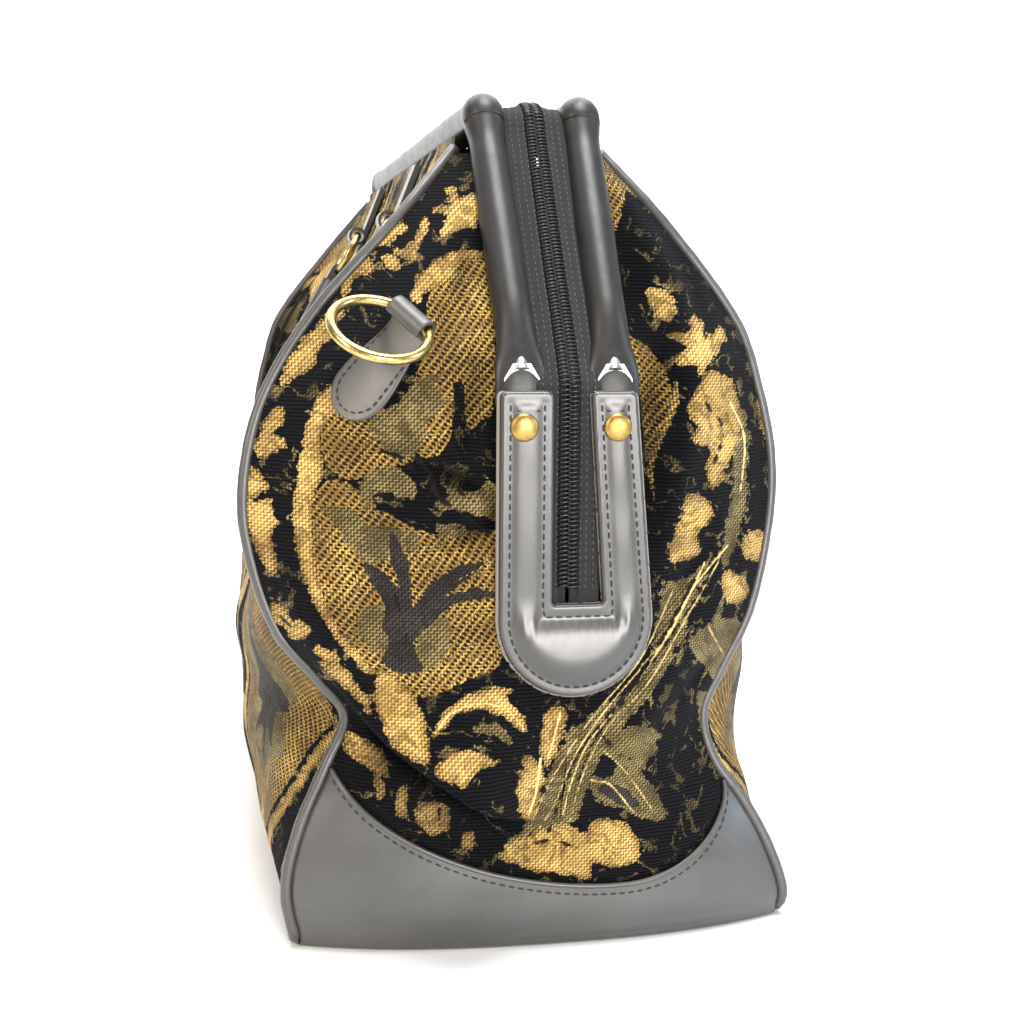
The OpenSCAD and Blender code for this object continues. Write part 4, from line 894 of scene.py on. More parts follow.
def end_half(side, rows=240, cols=100):
    t = np.linspace(0, 1, cols)[None, :]
    s = np.linspace(0, 1, rows)[:, None]
    nominal = mix(-76 if side < 0 else 64, 1.0, t)
    low = boot_edge(nominal) - 3.0
    z = mix(low, TOP_Z - 3.0, s)
    z = z + 0 * t
    p = wing(side, t + 0 * s, z, reach=-0.6)
    tucked = 2.0 * (1 - ease(1.0, 6.0, z - boot_edge(nominal)))
    detail = end_detail(p[..., 0], p[..., 2], side) * ease(2, 16, z - boot_edge(nominal))
    p[..., 1] = p[..., 1] + tucked - detail
    shade = 1 - 0.6 * ease(1.0, 8.0, -detail)
    if side < 0:
        rise = fold_rise(p[..., 0], p[..., 2])
        on = (1 - ease(-36, 2, p[..., 0])) * ease(4, 16, p[..., 0] - follow(FRONT_X, p[..., 2]))
        lip = np.exp(-((rise - 5) / 4.5) ** 2)
        under = np.exp(-((rise + 4) / 5) ** 2)
        shade = shade * (1 - 0.78 * np.exp(-(np.minimum(rise, 0) / 32) ** 2) * ease(5, 0, rise) * on)
        p[..., 1] += (under * 7.0 - lip * 7.5) * on
        p[..., 2] -= lip * 9.5 * on
    return p, shade


def make_end(side, name):
    p, shade = end_half(side)
    ob = sheet_mesh(name, p, flip=side > 0)[0]
    set_uv(ob, p[..., [0, 2]].reshape(-1, 2) * MM)
    x, y = picture_place(p.reshape(-1, 3))
    set_motifs(ob, end_motifs(x, y))
    set_attribute(ob, "shade", shade.ravel())
    return ob


def side_panel():
    rows, cols = 150, 200
    z = np.linspace(3.2, BAR_Z - 7, rows)[:, None]
    k = np.linspace(0, 1, cols)[None, :]
    k = mix(k, ease(0, 1, k), 0.35)
    y0, y1 = follow(FRONT_Y, z), -follow(BACK_Y, z)
    y = mix(y0, y1, k)
    z = z + 0 * y
    x = front_x(y, z)
    edge = ease(0, 14, np.minimum(np.minimum(y - y0, y1 - y), np.minimum(z - 3, BAR_Z - 7 - z) * 2))
    x = x - (ripple(y, z, 60, 5, 2.0) + ripple(y, z * 0.4, 26, 6, 0.7)) * edge
    gather = np.sin(y * 2 * np.pi / 21 + np.sin(y * 0.05) * 2) * 0.9 * ease(BAR_Z - 60, BAR_Z - 16, z) \
        * ease(0, 10, BAR_Z - 6 - z)
    x = x - gather * edge
    return np.stack([x, y, z], -1)


def make_tapestry():
    lefts = make_end(-1, "near_end_front_half")
    rights = make_end(1, "near_end_back_half")
    far_right = add_half_turn(lefts, "far_end_back_half")
    far_left = add_half_turn(rights, "far_end_front_half")
    finish_piece(lefts, "tapestry", blend_to="front_bow", nodes=["near_end_panel"])
    finish_piece(rights, "tapestry", blend_to="back_bow")
    finish_piece(far_right, "tapestry", blend_to="back_bow", nodes=["far_end_panel"])
    finish_piece(far_left, "tapestry", blend_to="front_bow")
    p = side_panel()
    front, u, v = sheet_mesh("front_side", p, flip=True)
    set_uv(front, np.stack([u - u[:, -1:] / 2, v], -1).reshape(-1, 2) * MM)
    set_motifs(front, side_motifs(p[..., 1].ravel(), v.ravel()))
    set_attribute(front, "shade", np.ones(v.size))
    back = add_half_turn(front, "back_side")
    finish_piece(front, "tapestry", blend_to="front_bow", nodes=["front_panel"])
    finish_piece(back, "tapestry", blend_to="back_bow", nodes=["back_panel"])


# ---------------------------------------------------------------- lining
def make_lining():
    rows, cols = 50, 45
    z = np.linspace(5, TOP_Z - 4, rows)[:, None]
    inset, end_inset = 3.4, 10.5

    def half_wall():
        """Half of the lining in plan, from the near end's middle round the front to the far end's middle."""
        t = np.linspace(1, 0.02, cols)[None, :]
        near = wing(-1, t + 0 * z, z + 0 * t) + np.array([0, end_inset, 0])
        k = np.linspace(0.01, 0.99, 2 * cols)[None, :]
        y = mix(follow(FRONT_Y, z) + inset, -follow(BACK_Y, z) - inset, k)
        flank = np.stack([front_x(y, z + 0 * y) + inset, y, z + 0 * y], -1)
        far = turned(wing(1, t[:, ::-1] + 0 * z, z + 0 * t)) - np.array([0, end_inset, 0])
        near[..., 0] = np.maximum(near[..., 0], follow(FRONT_X, z) + inset)
        far[..., 0] = np.maximum(far[..., 0], -follow(BACK_X, z) + inset)
        return np.concatenate([near, flank, far], 1)

    p = half_wall()
    front, u, v = sheet_mesh("front_lining", p)
    set_uv(front, np.stack([u, v], -1).reshape(-1, 2) * MM)
    back = add_half_turn(front, "back_lining")
    floor_points = np.stack(np.broadcast_arrays(np.linspace(-82, 82, 20)[None, :], np.linspace(-188, 188, 40)[:, None],
                                                np.full((40, 20), 5.6)), -1)
    floor, u, v = sheet_mesh("lining_floor", floor_points)
    set_uv(floor, np.stack([u, v], -1).reshape(-1, 2) * MM)
    # the lining goes ahead of the cloth where a bow folds it in, so it stays inside
    finish_piece(front, "lining", blend_to="front_bow", nodes=["lining"])
    finish_piece(back, "lining", blend_to="back_bow")
    finish_piece(floor, "lining", body="bag")


# ---------------------------------------------------------------- boot, binding and piping
def boot_side(x, z):
    return end_y(x, z) - 0.5 + ripple(x, z, 40, 11, 0.5) * ease(2, 12, z)


def make_boot():
    cols, wall, floor = 120, 46, 48
    t = np.linspace(0, 1, cols)[None, :]
    s = np.linspace(0, 1, wall)[:, None]
    edge = boot_edge(mix(-76, 64, t))
    z = mix(edge, 3.4, s)
    x = mix(follow(FRONT_X, z) + 1.6, follow(BACK_X, z) - 1.6, t)
    y = boot_side(x, z)
    near = np.stack([x, y, z], -1)
    foot = near[-1]
    bend = []
    for a in np.linspace(15, 90, 6):
        r = 3.4
        bend.append(np.stack([foot[:, 0], foot[:, 1] + r - r * math.cos(math.radians(a)),
                              foot[:, 2] - r * math.sin(math.radians(a))], -1))
    bend = np.stack(bend)
    bend[..., 2] = np.maximum(bend[..., 2], 0.02)
    half = np.concatenate([near, bend])
    far = turned(half)[::-1, ::-1]
    a, b = half[-1], far[0]
    flat = np.stack([mix(a, b, k) for k in np.linspace(0, 1, floor + 2)[1:-1]])
    p = np.concatenate([half, flat, far])
    ob = sheet_mesh("boot", p, flip=True)[0]
    solid = ob.modifiers.new("thickness", "SOLIDIFY")
    solid.thickness, solid.offset = 0.0013, -1
    finish_piece(ob, "boot", body="bag", nodes=["base_boot"])
    # turned hem and its stitches
    xs = np.linspace(0, 1, 260)
    line_z = boot_edge(mix(-76, 64, xs)) - 0.4
    line_x = mix(follow(FRONT_X, line_z) + 2.0, follow(BACK_X, line_z) - 2.0, xs)
    hem = np.stack([line_x, boot_side(line_x, line_z) + 0.5, line_z], -1)
    v1, f1 = tube(hem, 0.95, 10, (0, 1, 0))
    hem_near = new_object("near_boot_hem", v1 * MM, f1)
    hem_far = add_half_turn(hem_near, "far_boot_hem")
    finish_piece(hem_near, "boot", body="bag", nodes=["near_boot_binding"])
    finish_piece(hem_far, "boot", body="bag", nodes=["far_boot_binding"])
    low_z = boot_edge(mix(-76, 64, xs)) - 3.4
    low_x = mix(follow(FRONT_X, low_z) + 3.5, follow(BACK_X, low_z) - 3.5, xs)
    seam = np.stack([low_x, boot_side(low_x, low_z), low_z], -1)
    near_st = stitch_row("near_boot_stitches", seam, np.array([0, -1, 0]), 3.4)
    far_st = add_half_turn(near_st, "far_boot_stitches")
    for ob in (near_st, far_st):
        finish_piece(ob, "thread", body="bag")


def stitch(a, b, normal, r=0.32):
    """One raised stitch from a to b in mm."""
    d = b - a
    n = np.linalg.norm(d)
    d = d / n
    normal = normal - d * (normal @ d)
    normal = normal / np.linalg.norm(normal)
    side = np.cross(d, normal)
    verts, faces = [], []
    k = 6
    for i, (s, rr, lift) in enumerate([(0.0, 0.35, -0.1), (0.15, 0.9, 0.12), (0.5, 1.05, 0.22), (0.85, 0.9, 0.12),
                                       (1.0, 0.35, -0.1)]):
        c = a + d * n * s + normal * lift
        for j in range(k):
            w = 2 * math.pi * j / k
            verts.append(c + (normal * math.cos(w) * 0.8 + side * math.sin(w)) * r * rr)
    for i in range(4):
        for j in range(k):
            faces.append((i * k + j, i * k + (j + 1) % k, (i + 1) * k + (j + 1) % k, (i + 1) * k + j))
    faces.append(tuple(range(k - 1, -1, -1)))
    faces.append(tuple(4 * k + j for j in range(k)))
    return np.array(verts), faces


def stitch_row(name, path, normal, pitch=3.3, share=0.7, r=0.32):
    p = even_path(path, pitch)
    normals = np.broadcast_to(np.asarray(normal, float), (len(p), 3)) if np.ndim(normal) == 1 else normal
    parts = []
    for i in range(len(p) - 1):
        a, b = p[i], p[i + 1]
        m = (a + b) / 2
        n = normals[min(i * len(normals) // len(p), len(normals) - 1)]
        parts.append(stitch(m + (a - m) * share, m + (b - m) * share, np.array(n, float), r))
    v, f = joined(parts)
    return new_object(name, v * MM, f)


def make_piping():
    z = np.linspace(TOP_Z, 5, 190)
    near = front_seam(z)
    far = turned(back_seam(z[::-1]))
    low_x = 1 - HALF_W
    a = np.linspace(0, 1, 10)[1:-1, None]
    turn1 = np.stack([np.full(8, low_x) + 0 * a[:, 0], -HALF_L + 7 * (1 - np.cos(a[:, 0] * np.pi / 2)),
                      5 - 2.6 * np.sin(a[:, 0] * np.pi / 2)], -1)
    bottom = np.stack([np.full(120, low_x), np.linspace(-HALF_L + 8, HALF_L - 8, 120), np.full(120, 2.4)], -1)
    turn2 = (turn1 * np.array([1, -1, 1]))[::-1]
    path = even_path(np.concatenate([near, turn1, bottom, turn2, far]), 1.6)
    wobble = 1 + 0.035 * np.sin(np.arange(len(path)) * 0.9) * np.sin(np.arange(len(path)) * 0.23)
    v, f = tube(path, PIPE_R * wobble, 12, (1, 0, 0))
    front = new_object("front_piping_cord", v * MM, f)
    back = add_half_turn(front, "back_piping_cord")
    finish_piece(front, "trim", blend_to="front_bow", nodes=["front_piping"])
    finish_piece(back, "trim", blend_to="back_bow", nodes=["back_piping"])


# ---------------------------------------------------------------- end tabs
def outline_distance(px, py, outline):
    """Distance in mm to a closed outline, positive inside, and the nearest points on it."""
    o = np.asarray(outline, float)
    q = np.roll(o, -1, axis=0)
    best = np.full(px.shape, 1e9)
    near = np.zeros(px.shape + (2,))
    inside = np.zeros(px.shape, bool)
    for (ax, ay), (bx, by) in zip(o, q):
        dx, dy = bx - ax, by - ay
        h = np.clip(((px - ax) * dx + (py - ay) * dy) / (dx * dx + dy * dy + 1e-12), 0, 1)
        cx, cy = ax + h * dx, ay + h * dy
        d = np.hypot(px - cx, py - cy)
        pick = d < best
        best = np.where(pick, d, best)
        near[pick] = np.stack([cx, cy], -1)[pick]
        cross = ((ay > py) != (by > py)) & (px < dx * (py - ay) / (dy + 1e-12) + ax)
        inside ^= cross
    return np.where(inside, best, -best), near


def slab(outline, step, front_height, back_height):
    """A soft-edged piece cut to an outline. The two heights give its faces from the distance to the edge."""
    o = np.asarray(outline, float)
    xs = np.arange(o[:, 0].min() - step, o[:, 0].max() + step * 2, step)
    ys = np.arange(o[:, 1].min() - step, o[:, 1].max() + step * 2, step)
    gx, gy = np.meshgrid(xs, ys)
    d, near = outline_distance(gx, gy, o)
    keep = d > -0.5 * step
    snap = np.abs(d) <= 0.5 * step
    gx = np.where(snap, near[..., 0], gx)
    gy = np.where(snap, near[..., 1], gy)
    d = np.where(snap, 0, d)
    cell = keep[:-1, :-1] & keep[1:, :-1] & keep[:-1, 1:] & keep[1:, 1:]
    index = -np.ones(gx.shape, int)
    used = np.zeros(gx.shape, bool)
    for a, b in ((0, 0), (0, 1), (1, 0), (1, 1)):
        used[a:a + cell.shape[0], b:b + cell.shape[1]] |= cell
    index[used] = np.arange(used.sum())
    n = used.sum()
    x, y, dd = gx[used], gy[used], d[used]
    front = np.stack([x, y, front_height(x, y, dd)], -1)
    back = np.stack([x, y, back_height(x, y, dd)], -1)
    r, c = np.nonzero(cell)
    q = np.stack([index[r, c], index[r, c + 1], index[r + 1, c + 1], index[r + 1, c]], -1)
    faces = [tuple(f) for f in q] + [tuple(f[::-1] + n) for f in q]
    edges = {}
    for f in q:
        for i in range(4):
            e = (int(f[i]), int(f[(i + 1) % 4]))
            if (e[1], e[0]) in edges:
                del edges[(e[1], e[0])]
            else:
                edges[e] = True
    faces += [(b, a, a + n, b + n) for a, b in edges]
    return np.concatenate([front, back]), faces


def upright(v, y):
    """From (x, z, height) of a slab to the bag's axes, with the height standing out towards -Y from y."""
    return np.stack([v[:, 0], y - v[:, 2], v[:, 1]], -1)


def tab_outline(grow=0.0):
    out_l, out_r, arm_l, arm_r, slot_r = -24 - grow, 23 + grow, -5.6, 7.0, 11.8
    low_r = (24 + 29.4) / 2 + grow
    low_x = (29.4 - 24) / 2
    pts = []

    def corner(cx, cy, r, a0, a1, n=6):
        for a in np.linspace(math.radians(a0), math.radians(a1), n):
            pts.append((cx + r * math.cos(a), cy + r * math.sin(a)))

    corner(low_x, TAB_LOW + 26.7, low_r, 180, 360, 50)
    corner(out_r - 2, TAB_TOP - 2, 2, 10, 90)
    corner(arm_r + 2, TAB_TOP - 2, 2, 90, 175)
    corner(slot_r - 1.2, SLOT_Z + 1.2, 1.2, 0, -90)
    corner(-5.6 + 1.2, SLOT_Z + 1.2, 1.2, 270, 180)
    corner(arm_l - 2, TAB_TOP - 2, 2, 0, 90)
    corner(out_l + 2, TAB_TOP - 2, 2, 90, 180)
    return np.array(pts)


def stitch_lines():
    """The tab's stitch paths in (x, z): one near the outer edge, one round the slot."""
    turns = [math.radians(a) for a in np.linspace(180, 360, 40)]
    round_foot = [(2.7 + 23.4 * math.cos(a), TAB_LOW + 26.7 + 23.4 * math.sin(a)) for a in turns]
    outer = [(-20.6, TAB_TOP - 4)] + round_foot + [(19.6, TAB_TOP - 4)]
    inner = [(-9.0, TAB_TOP - 4), (-9.0, SLOT_Z - 4.2), (15.4, SLOT_Z - 4.2), (10.4, TAB_TOP - 4)]
    return outer, inner


def make_tab():
    outer, inner = stitch_lines()

    def seam_distance(x, y):
        d = np.full(x.shape, 1e9)
        for line in (outer, inner):
            for (ax, ay), (bx, by) in zip(line[:-1], line[1:]):
                dx, dy = bx - ax, by - ay
                h = np.clip(((x - ax) * dx + (y - ay) * dy) / (dx * dx + dy * dy), 0, 1)
                d = np.minimum(d, np.hypot(x - ax - h * dx, y - ay - h * dy))
        return d

    def face_front(x, y, d):
        edge = 1.6 * np.sqrt(np.clip(1 - (1 - np.clip(d / 0.9, 0, 1)) ** 2, 0, 1)) + 0.25
        low = ease(TAB_LOW + 36, TAB_LOW + 8, y)
        pad = mix(0.4, 3.0, low) * (1 - np.exp(-(seam_distance(x, y) / mix(2.6, 4.6, low)) ** 2)) * ease(3.0, 6.0, d)
        lip = 0.15 * (1 - np.exp(-(seam_distance(x, y) / 1.2) ** 2))
        pucker = 0.16 * np.sin(x * 1.9) * 0.5 * np.exp(-((y - (SLOT_Z - 7)) / 4) ** 2) * ease(4, 8, d)
        return edge + pad + lip + pucker + ripple(x, y, 30, 21, 0.25) * ease(2, 8, d)

    def back_front(x, y, d):
        return 1.55 * np.sqrt(np.clip(1 - (1 - np.clip(d / 0.5, 0, 1)) ** 2, 0.05, 1))

    def flat(x, y, d):
        return 0 * x

    v, f = slab(tab_outline(), 0.62, face_front, flat)
    face = new_object("near_tab_leather", upright(v, -TAB_Y - 1.6) * MM, f)
    v, f = slab(tab_outline(0.8), 1.0, back_front, flat)
    backing = new_object("near_tab_under_leather", upright(v, -TAB_Y) * MM, f)
    far_face, far_backing = add_half_turn(face, "far_tab_leather"), add_half_turn(backing, "far_tab_under_leather")
    finish_piece(face, "tab", body="bag", nodes=["near_tab_face"])
    finish_piece(backing, "cut_edge", body="bag", nodes=["near_tab_backing"])
    finish_piece(far_face, "tab", body="bag", nodes=["far_tab_face"])
    finish_piece(far_backing, "cut_edge", body="bag", nodes=["far_tab_backing"])
    rows = []
    top_row = [(-19, TAB_TOP - 6.5), (-10, TAB_TOP - 6.5)]
    top_row2 = [(11, TAB_TOP - 6.5), (19, TAB_TOP - 6.5)]
    for line in (outer, inner, top_row, top_row2):
        p = even_path([(x, 0, z) for x, z in line], 3.3)
        y = -TAB_Y - 1.6 - 1.95
        q = np.stack([p[:, 0], np.full(len(p), y), p[:, 2]], -1)
        for i in range(len(q) - 1):
            m = (q[i] + q[i + 1]) / 2
            rows.append(stitch(m + (q[i] - m) * 0.7, m + (q[i + 1] - m) * 0.7, np.array([0.0, -1.0, 0.0])))
    v, f = joined(rows)
    near = new_object("near_tab_stitches", v * MM, f)
    far = add_half_turn(near, "far_tab_stitches")
    for ob in (near, far):
        finish_piece(ob, "thread", body="bag")


def lathe(profile, count=40):
    """A turned shape from (radius, height) points, about the local z axis."""
    p = np.asarray(profile, float)
    a = np.linspace(0, 2 * np.pi, count, endpoint=False)
    verts = np.stack([p[:, 0, None] * np.cos(a), p[:, 0, None] * np.sin(a), p[:, 1, None] + 0 * a], -1).reshape(-1, 3)
    return verts, [tuple(f) for f in grid_faces(len(p), count, wrap=True)]


def make_rivets():
    cap = [(0.02, 2.0), (1.6, 1.95), (3.0, 1.72), (3.9, 1.4), (4.4, 1.0), (4.75, 0.55), (4.9, 0.1), (4.8, -0.15),
           (4.2, -0.2), (0.02, -0.2)]
    shank = [(0.02, -0.2), (2.0, -0.2), (2.0, -7.4), (3.9, -7.4), (3.9, -8.4), (0.02, -8.4)]
    parts = []
    for x in (-PIVOT_X, PIVOT_X):
        for profile, count in ((cap, 48), (shank, 24)):
            v, f = lathe(profile, count)
            v = np.stack([v[:, 0] + x, -TAB_Y - 3.6 - v[:, 2], v[:, 1] + PIVOT_Z], -1)
            parts.append((v, f))
    v, f = joined(parts)
    near = new_object("near_rivet_caps", v * MM, f)
    far = add_half_turn(near, "far_rivet_caps")
    finish_piece(near, "brass", body="bag", nodes=["near_rivets"])
    finish_piece(far, "brass", body="bag", nodes=["far_rivets"])


# ---------------------------------------------------------------- sleeves
def make_sleeve():
    foot = np.array([-PIVOT_X, LEG_Y, LEG_Z])
    corner = np.array([-BAR_X, -BAR_Y, BAR_Z])
    d = corner - foot
    # the leather goes on down behind the tab's arm, pressed flat round the rod's end
    low = np.stack([np.array([-PIVOT_X, LEG_Y + 0.5, z]) for z in np.linspace(195.5, LEG_Z - 1, 8)])
    leg = np.stack([mix(foot + d * 0.02, corner, k) for k in np.linspace(0, 0.955, 70)])
    bend = smooth_path([corner - d / np.linalg.norm(d) * 5, corner + np.array([0, -0.4, -0.2]),
                        corner + np.array([0, 5, 0])], 10)
    bar = np.stack([corner + np.array([0, k, 0]) for k in np.linspace(7, 2 * BAR_Y - 7, 110)])
    near = np.concatenate([low, leg, bend])
    window = np.hanning(15)[1:-1] / 7.0
    soft = np.stack([np.convolve(np.pad(near[:, k], 6, "edge"), window, "valid") for k in range(3)], -1)
    near[1:26] = mix(soft[1:26], near[1:26], np.linspace(0, 1, 25)[:, None] ** 2)
    path = np.concatenate([near, bar, (near * np.array([1, -1, 1]))[::-1]])
    dist = np.concatenate([[0], np.cumsum(np.linalg.norm(np.diff(path, axis=0), axis=1))])
    from_end = np.minimum(dist, dist[-1] - dist)
    length = np.linalg.norm(d) * 0.98 + 10.5
    knob = np.exp(-((from_end - length) / 6) ** 2)
    dent = 0.1 * np.sin(from_end * 0.11) + 0.04 * np.sin(from_end * 0.27 + 1) - 0.14
    full = SLEEVE_R + 0.75 * knob - 0.35 * np.exp(-((from_end - length + 13) / 5) ** 2) + dent * ease(14, 34, from_end)
    wide = mix(8.9, full, ease(9, 24, from_end))
    thick = mix(2.7, full, ease(7, 38, from_end))
    v, f = tube(path, 1.0, 28, (1, 0, 0))
    v = v.reshape(len(path), 28, 3) - path[:, None]
    across = v[..., 0].copy()
    v = v * thick[:, None, None]
    v[..., 0] = across * wide[:, None]
    v = (v + path[:, None]).reshape(-1, 3)
    front = new_object("front_bow_sleeve", v * MM, f)
    back = add_half_turn(front, "back_bow_sleeve")
    finish_piece(front, "sleeve", body="front_bow", nodes=["front_sleeve"])
    finish_piece(back, "sleeve", body="back_bow", nodes=["back_sleeve"])


# ---------------------------------------------------------------- zip
# in points of the zip's line, 0.5 mm apart, and in mm from its middle
TOOTH_PITCH, SEWING_PITCH, SLIDERS_Y = 3, 5, 9
SEWING_LINES = (4.15, 6.3, 8.9)


def zip_path():
    """The zip's line in (y, z) from the near slot over the top to the far slot, and its outward direction."""
    near = np.array([[-TAB_Y + 0.15, SLOT_Z - 6], [-TAB_Y + 0.15, 160], [-TAB_Y + 0.15, TAB_TOP - 6],
                     [-TAB_Y + 1.15, TAB_TOP + 4], [-BAR_Y - 38, (TAB_TOP + 4 + BAR_Z - 8) / 2],
                     [-BAR_Y - 8, BAR_Z - 8], [-BAR_Y - 3.5, BAR_Z - 0.5], [-BAR_Y + 3, BAR_Z + 3],
                     [-BAR_Y + 12, BAR_Z + 3.05]])
    p = np.concatenate([near, (near * np.array([-1, 1]))[::-1]])
    q = smooth_path(np.stack([0 * p[:, 0], p[:, 0], p[:, 1]], -1), 1500)
    q = even_path(q, 0.5)
    t = np.gradient(q, axis=0)
    t /= np.linalg.norm(t, axis=1)[:, None]
    out = np.stack([0 * t[:, 0], -t[:, 2], t[:, 1]], -1)
    return q, t, out


def make_zip():
    q, t, out = zip_path()
    n = len(q)
    cols = 13
    across = np.linspace(0.7, 11.2, cols)
    height = np.interp(across, [0.7, 3.4, 3.9, 4.6, 5.4, 7, 11.2], [-0.35, -0.35, 0.5, 0.75, 0.1, -0.2, -0.5])
    p = q[::3, None] + np.array([-1, 0, 0]) * across[None, :, None] + out[::3, None] * height[None, :, None]
    front, u, v = sheet_mesh("front_zip_tape_cloth", p)
    set_uv(front, np.stack([u, v], -1).reshape(-1, 2) * MM)
    solid = front.modifiers.new("thickness", "SOLIDIFY")
    solid.thickness, solid.offset = 0.0006, 0
    back = add_half_turn(front, "back_zip_tape_cloth")
    parts = []
    for i in range(24, n - 24, TOOTH_PITCH):
        # no teeth where the two sliders sit
        if abs(q[i, 1]) < SLIDERS_Y and q[i, 2] > BAR_Z - 18:
            continue
        loop = []
        for a in np.linspace(0, 2 * np.pi, 9)[:-1]:
            w = 3.5 - 1.95 * (1 - math.cos(a))
            h = 1.1 + 0.95 * math.sin(a)
            loop.append(q[i] + np.array([-1, 0, 0]) * (w - 0.05) + out[i] * h + t[i] * 0.35 * math.sin(a * 0.5))
        loop = np.array(loop)
        centre = loop.mean(0)
        ring_dir = loop - centre
        ring_dir /= np.linalg.norm(ring_dir, axis=1)[:, None]
        k = 4
        verts = []
        for j, c in enumerate(loop):
            for b in range(k):
                w = 2 * math.pi * b / k
                verts.append(c + (ring_dir[j] * math.cos(w) + t[i] * math.sin(w)) * 0.42)
        m = len(loop)
        faces = [(a * k + b, a * k + (b + 1) % k, ((a + 1) % m) * k + (b + 1) % k, ((a + 1) % m) * k + b)
                 for a in range(m) for b in range(k)]
        parts.append((np.array(verts), faces))
    vv, ff = joined(parts)
    coil = new_object("front_zip_teeth", vv * MM, ff)
    far_coil = add_half_turn(coil, "back_zip_teeth")
    dots = []
    for w in SEWING_LINES:
        h = np.interp(w, across, height) + 0.3
        for i in range(20, n - 20, SEWING_PITCH):
            c = q[i] + np.array([-1, 0, 0]) * w + out[i] * h
            dots.append(stitch(c - t[i] * 0.55, c + t[i] * 0.55, out[i], 0.17))
    vv, ff = joined(dots)
    dot = new_object("front_zip_sewing", vv * MM, ff)
    far_dot = add_half_turn(dot, "back_zip_sewing")
    for bow, pieces in (("front", (front, coil, dot)), ("back", (back, far_coil, far_dot))):
        for ob, material, slot in zip(pieces, ("tape", "coil", "dots"), ("zip_tape", "zip_coil", "zip_tape")):
            ob.data.materials.append(MAT[material])
            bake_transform(ob)
            if material != "dots":
                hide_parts(bow + "_" + slot)


# ---------------------------------------------------------------- ring tab
def surface_frame(t, z, length):
    """Place and directions of something that lies on the near end's front half."""
    def at(share, height):
        return wing(-1, np.array(share), np.array(float(height)))

    a = at(t, z - length / 2)
    top, low = at(t, z), at(t, z - length)
    across = at(t + 0.2, z - length / 2) - at(t - 0.2, z - length / 2)
    up = (top - low) / np.linalg.norm(top - low)
    inward = np.cross(up, across)
    inward /= np.linalg.norm(inward)
    right = np.cross(inward, up)
    return a, right, inward, up


def place_ring_tab(v):
    """From the ring tab's own axes (x along its loop, y inward, z up) to the bag's."""
    a, right, inward, up = surface_frame(0.46, 226, 40)
    seat = a - inward * 4.5
    roll, tilt = math.radians(36), math.radians(1.9)
    v = np.asarray(v, float) + np.array([0, 0, 40])
    v = np.stack([v[:, 0], v[:, 1] * math.cos(tilt) - v[:, 2] * math.sin(tilt),
                  v[:, 1] * math.sin(tilt) + v[:, 2] * math.cos(tilt)], -1) - np.array([0, 0, 20])
    w = np.stack([v[:, 0] * math.cos(roll) + v[:, 2] * math.sin(roll), v[:, 1],
                  -v[:, 0] * math.sin(roll) + v[:, 2] * math.cos(roll)], -1)
    return seat + w[:, 0:1] * right + w[:, 1:2] * inward + w[:, 2:3] * up


def make_ring_tab():
    length, width = 40, 22
    rows, cols = 70, 25
    pts = []
    loop_r = 3.7
    # one strip: up the leaf, round the loop and down behind it
    for s in np.linspace(0, 1, rows):
        z = mix(-length, -2.0, s)
        if z < -length + width / 2:
            half = math.sqrt(max((width / 2) ** 2 - (-length + width / 2 - z) ** 2, 0.01))
        else:
            half = mix(width / 2, 8.0, float(ease(-length + width / 2 + 2, -6, z)))
        x = np.linspace(-half, half, cols)
        y = 3.5 + 0.006 * x ** 2 - 0.5 * ease(-10, -1, z)
        pts.append(np.stack([x, y, np.full(cols, z)], -1))
    for a in np.linspace(-40, 225, 26):
        y = -loop_r * math.cos(math.radians(a + 180))
        z = -loop_r * math.sin(math.radians(a + 180))
        x = np.linspace(-8, 8, cols)
        pts.append(np.stack([x, np.full(cols, y), np.full(cols, z)], -1))
    p = np.stack(pts)
    ob = sheet_mesh("ring_tab", p)[0]
    local = p.reshape(-1, 3)
    ob.data.vertices.foreach_set("co", (place_ring_tab(local) * MM).astype(np.float32).ravel())
    solid = ob.modifiers.new("thickness", "SOLIDIFY")
    solid.thickness, solid.offset = 0.0012, 0
    ob.name = "near_ring_tab_leather"
    ob.data.update()
    far = add_half_turn(ob, "far_ring_tab_leather")
    finish_piece(ob, "trim", body="bag", nodes=["near_ring_tab"])
    finish_piece(far, "trim", body="bag", nodes=["far_ring_tab"])
    r = width / 2 - 2.4
    turns = [math.radians(a) for a in np.linspace(0, 180, 24)]
    line = [(-7.4, -7)] + [(-r * math.cos(a), -length + width / 2 - r * math.sin(a)) for a in turns] + [(7.4, -7)]
    e = even_path([(x, 0, z) for x, z in line], 3.0)
    parts = []
    for i in range(len(e) - 1):
        m = (e[i] + e[i + 1]) / 2
        a, b = m + (e[i] - m) * 0.7, m + (e[i + 1] - m) * 0.7
        a[1] = b[1] = 3.5 + 0.006 * m[0] ** 2 - 0.7
        parts.append(stitch(a, b, np.array([0.0, -1.0, 0.0]), 0.3))
    v, f = joined(parts)
    near = new_object("near_ring_tab_stitches", place_ring_tab(v) * MM, f)
    far = add_half_turn(near, "far_ring_tab_stitches")
    for ob in (near, far):
        finish_piece(ob, "thread", body="bag")


# ---------------------------------------------------------------- carried-over pieces
def dress_node(name, material, bevel=0.0):
    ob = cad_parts[name]
    ob.data.materials.clear()
    ob.data.materials.append(MAT[material])
    ob.data.polygons.foreach_set("use_smooth", [True] * len(ob.data.polygons))
    if bevel:
        m = ob.modifiers.new("edge", "BEVEL")
        m.width, m.segments, m.limit_method, m.angle_limit = bevel, 2, "ANGLE", math.radians(40)
    m = ob.modifiers.new("normals", "WEIGHTED_NORMAL")
    m.keep_sharp = True


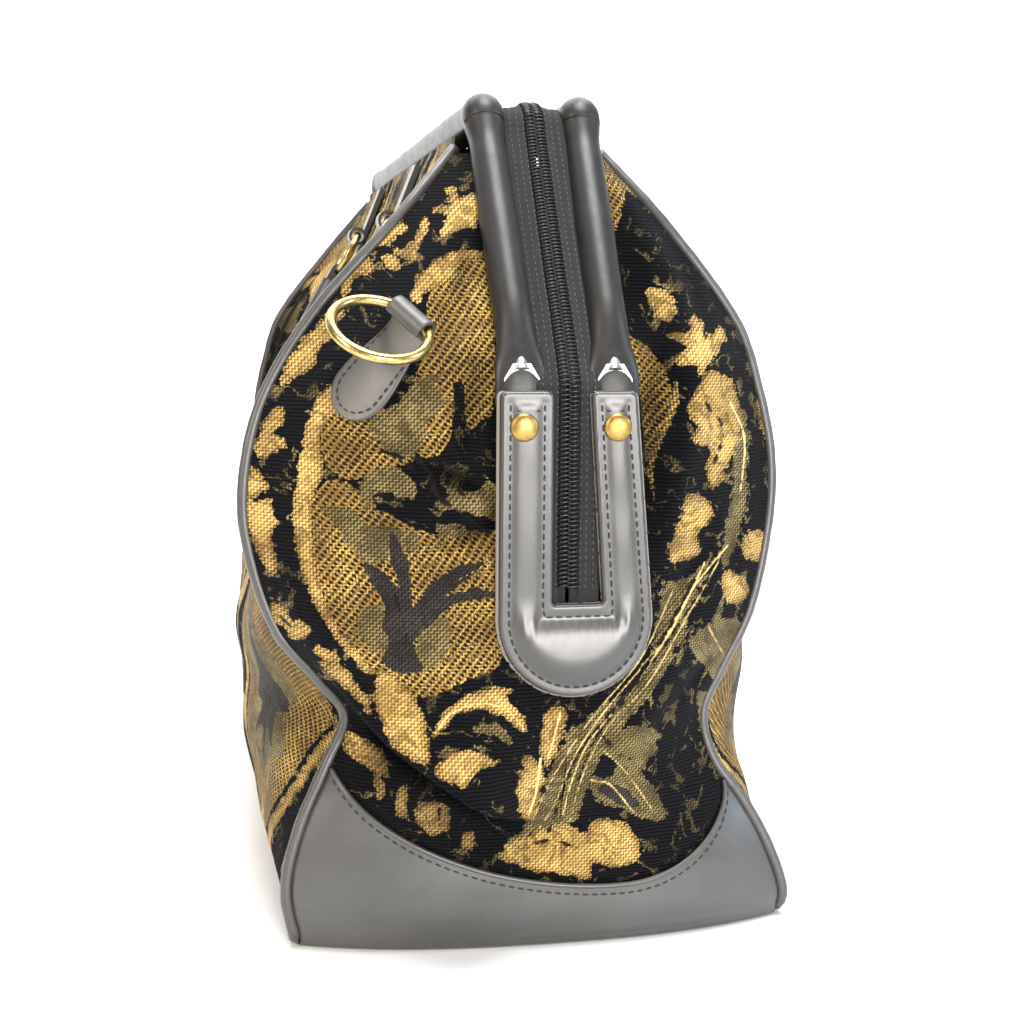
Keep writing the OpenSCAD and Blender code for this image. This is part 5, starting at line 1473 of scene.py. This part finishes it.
# ---------------------------------------------------------------- stage
def make_stage():
    half, back, bend = 4.0, 1.2, 0.6
    sweep = [(back + bend * math.sin(a), bend * (1 - math.cos(a))) for a in np.linspace(0, math.pi / 2, 12)[1:]]
    prof = [(-1.0, 0.0), (back, 0.0)] + sweep + [(back + bend, 3.0)]
    verts = [(x, y, z) for y, z in prof for x in (-half, half)]
    faces = [(2 * i, 2 * i + 1, 2 * i + 3, 2 * i + 2) for i in range(len(prof) - 1)]
    floor = new_object("floor", np.array(verts), faces)
    m, t, b = new_material("pale_floor")
    n = noise(t, object_mm(t), 0.004, 2.0)
    t.links.new(mix_color(t, n, (0.86, 0.86, 0.86, 1), (0.9, 0.9, 0.9, 1)), b.inputs["Base Color"])
    b.inputs["Roughness"].default_value = 0.8
    floor.data.materials.append(m)

    def area(name, at, aim, size, power, color):
        light = bpy.data.lights.new(name, "AREA")
        light.shape, light.size, light.size_y = "RECTANGLE", size[0], size[1]
        light.energy, light.color = power, color
        ob = bpy.data.objects.new(name, light)
        ob.location = at
        ob.rotation_euler = (Vector(aim) - Vector(at)).to_track_quat("-Z", "Y").to_euler()
        bpy.context.scene.collection.objects.link(ob)

    area("front", (0.36, -1.95, 0.36), (0, -0.2, 0.12), (0.8, 0.55), 38, (1.0, 0.97, 0.93))
    area("warm_side", (-1.45, -1.0, 1.0), (0, -0.1, 0.15), (0.35, 0.9), 22, (1.0, 0.9, 0.77))
    area("cool_side", (1.5, -0.6, 0.8), (0, -0.1, 0.15), (0.35, 0.9), 14, (0.7, 0.85, 1.0))
    area("top", (0.1, -0.3, 2.0), (0, -0.1, 0.1), (1.0, 1.0), 52, (1.0, 1.0, 1.0))
    area("sweep", (0.0, 0.95, 1.9), (0, 1.8, 0.4), (2.6, 0.6), 60, (1.0, 1.0, 1.0))
    world = bpy.data.worlds.new("studio")
    world.use_nodes = True
    world.node_tree.nodes["Background"].inputs[0].default_value = (1.0, 1.0, 1.0, 1)
    world.node_tree.nodes["Background"].inputs[1].default_value = 0.22
    bpy.context.scene.world = world
    bpy.context.scene.view_settings.view_transform = "Standard"
    bpy.context.scene.view_settings.look = "None"


def main():
    make_tapestry()
    make_lining()
    make_boot()
    make_piping()
    make_tab()
    make_rivets()
    make_sleeve()
    make_zip()
    make_ring_tab()
    for n in ("near_ring", "far_ring", "front_handle_rings", "back_handle_rings"):
        dress_node(n, "ring")
    for n in ("near_slider", "far_slider", "near_puller", "far_puller"):
        dress_node(n, "dark_metal", 0.0003)
    for n in ("front_rod", "back_rod"):
        dress_node(n, "steel")
    for n in ("front_handle", "back_handle", "front_handle_tabs", "back_handle_tabs"):
        dress_node(n, "trim", 0.0003)
    dress_node("base_board", "board")
    make_stage()


main()
